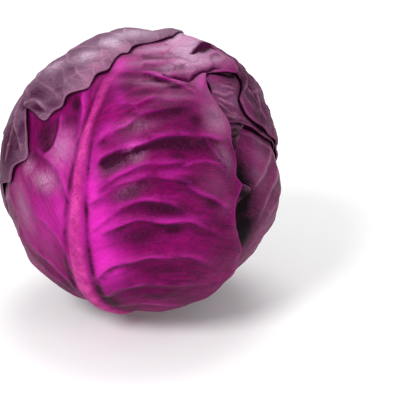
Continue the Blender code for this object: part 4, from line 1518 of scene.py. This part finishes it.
def build_head():
    """Every piece of the head, each in place of its node."""
    finishes = {
        "side_leaf": leaf_finish("side_leaf_skin", SIDE_PALETTE),
        "shoulder_leaf": leaf_finish("shoulder_leaf_skin", SHOULDER_PALETTE),
        "front_leaf": leaf_finish("front_leaf_skin", FRONT_PALETTE),
        "crown_leaf": leaf_finish("crown_leaf_skin", CROWN_PALETTE),
    }
    noise.seed_set(WOBBLE_SEED)
    build_stem(stem_finish())
    build_dense_head(leaf_finish("packed_leaf_skin", PACKED_PALETTE))
    for layer, leaf in enumerate(LEAVES):
        build_leaf(layer, leaf, finishes[leaf.slot])


FLOOR_SIZE = 6.0
FLOOR_COLOUR = tint(242, 242, 243)
FLOOR_LIGHT = tint(248, 248, 248)


def build_floor():
    """A plain pale floor, level with the stem's cut face."""
    plane = bmesh.new()
    bmesh.ops.create_grid(plane, x_segments=1, y_segments=1, size=FLOOR_SIZE / 2)
    mesh = bpy.data.meshes.new("floor")
    plane.to_mesh(mesh)
    plane.free()
    skin = Finish("floor_paint")
    colour = skin.blend(skin.clouds(3, 3), FLOOR_COLOUR, FLOOR_LIGHT)
    mesh.materials.append(skin.set(Base_Color=colour, Roughness=0.9))
    floor = bpy.data.objects.new("floor", mesh)
    bpy.context.scene.collection.objects.link(floor)
    floor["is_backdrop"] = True


def aimed(position, target):
    """A matrix at a position whose -Z looks at a target, with +Y as near to up as it can be."""
    back = (position - target).normalized()
    right = Vector((0, 0, 1)).cross(back).normalized()
    up = back.cross(right)
    turned = Matrix((right, up, back)).transposed().to_4x4()
    return Matrix.Translation(position) @ turned


def add_camera():
    drop = math.radians(CAMERA_DROP)
    head = Vector((0, 0, HEAD_HEIGHT))
    position = head + CAMERA_DISTANCE * Vector((0, -math.cos(drop), math.sin(drop)))
    sight = aimed(position, head)
    right, up = sight.col[0].xyz, sight.col[1].xyz
    pixel = CAMERA_DISTANCE / FOCAL_PIXELS
    target = head + right * HEAD_LEFT_OF_MIDDLE * pixel - up * HEAD_ABOVE_MIDDLE * pixel
    lens = bpy.data.cameras.new("camera")
    lens.lens = CAMERA_LENS
    lens.sensor_width = SENSOR
    camera = bpy.data.objects.new("camera", lens)
    camera.matrix_world = aimed(position, target)
    bpy.context.scene.collection.objects.link(camera)
    bpy.context.scene.camera = camera


# Each soft lamp's name, place, width and power: a large key high on the left front, a fill from
# the right and a light from above
SOFTBOXES = (
    ("key_light", (-0.9, -1.1, 1.3), 0.7, 26),
    ("fill_light", (1.4, -1.0, 0.5), 1.2, 9),
    ("top_light", (0.1, 0.5, 1.6), 1.0, 12),
)
WORLD_COLOUR = (1.0, 1.0, 1.0, 1.0)
WORLD_LIGHT = 0.55


def add_softbox(name, place, width, power):
    lamp = bpy.data.lights.new(name, "AREA")
    lamp.shape = "DISK"
    lamp.size = width
    lamp.energy = power
    box = bpy.data.objects.new(name, lamp)
    box.matrix_world = aimed(Vector(place), Vector((0, 0, HEAD_HEIGHT)))
    bpy.context.scene.collection.objects.link(box)


def add_light():
    """Soft studio light: the lamps and a pale world."""
    for softbox in SOFTBOXES:
        add_softbox(*softbox)
    world = bpy.data.worlds.new("studio")
    world.use_nodes = True
    sky = world.node_tree.nodes["Background"]
    sky.inputs["Color"].default_value = WORLD_COLOUR
    sky.inputs["Strength"].default_value = WORLD_LIGHT
    bpy.context.scene.world = world
    bpy.context.scene.view_settings.view_transform = "Standard"


def write_size():
    """Works out the box of the solids and the box of what is shown."""
    boxes = {"cad": cad_box, "visual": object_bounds()}
    {name: [list(corner) for corner in box] for name, box in boxes.items()}


build_head()
build_floor()
add_camera()
add_light()
write_size()
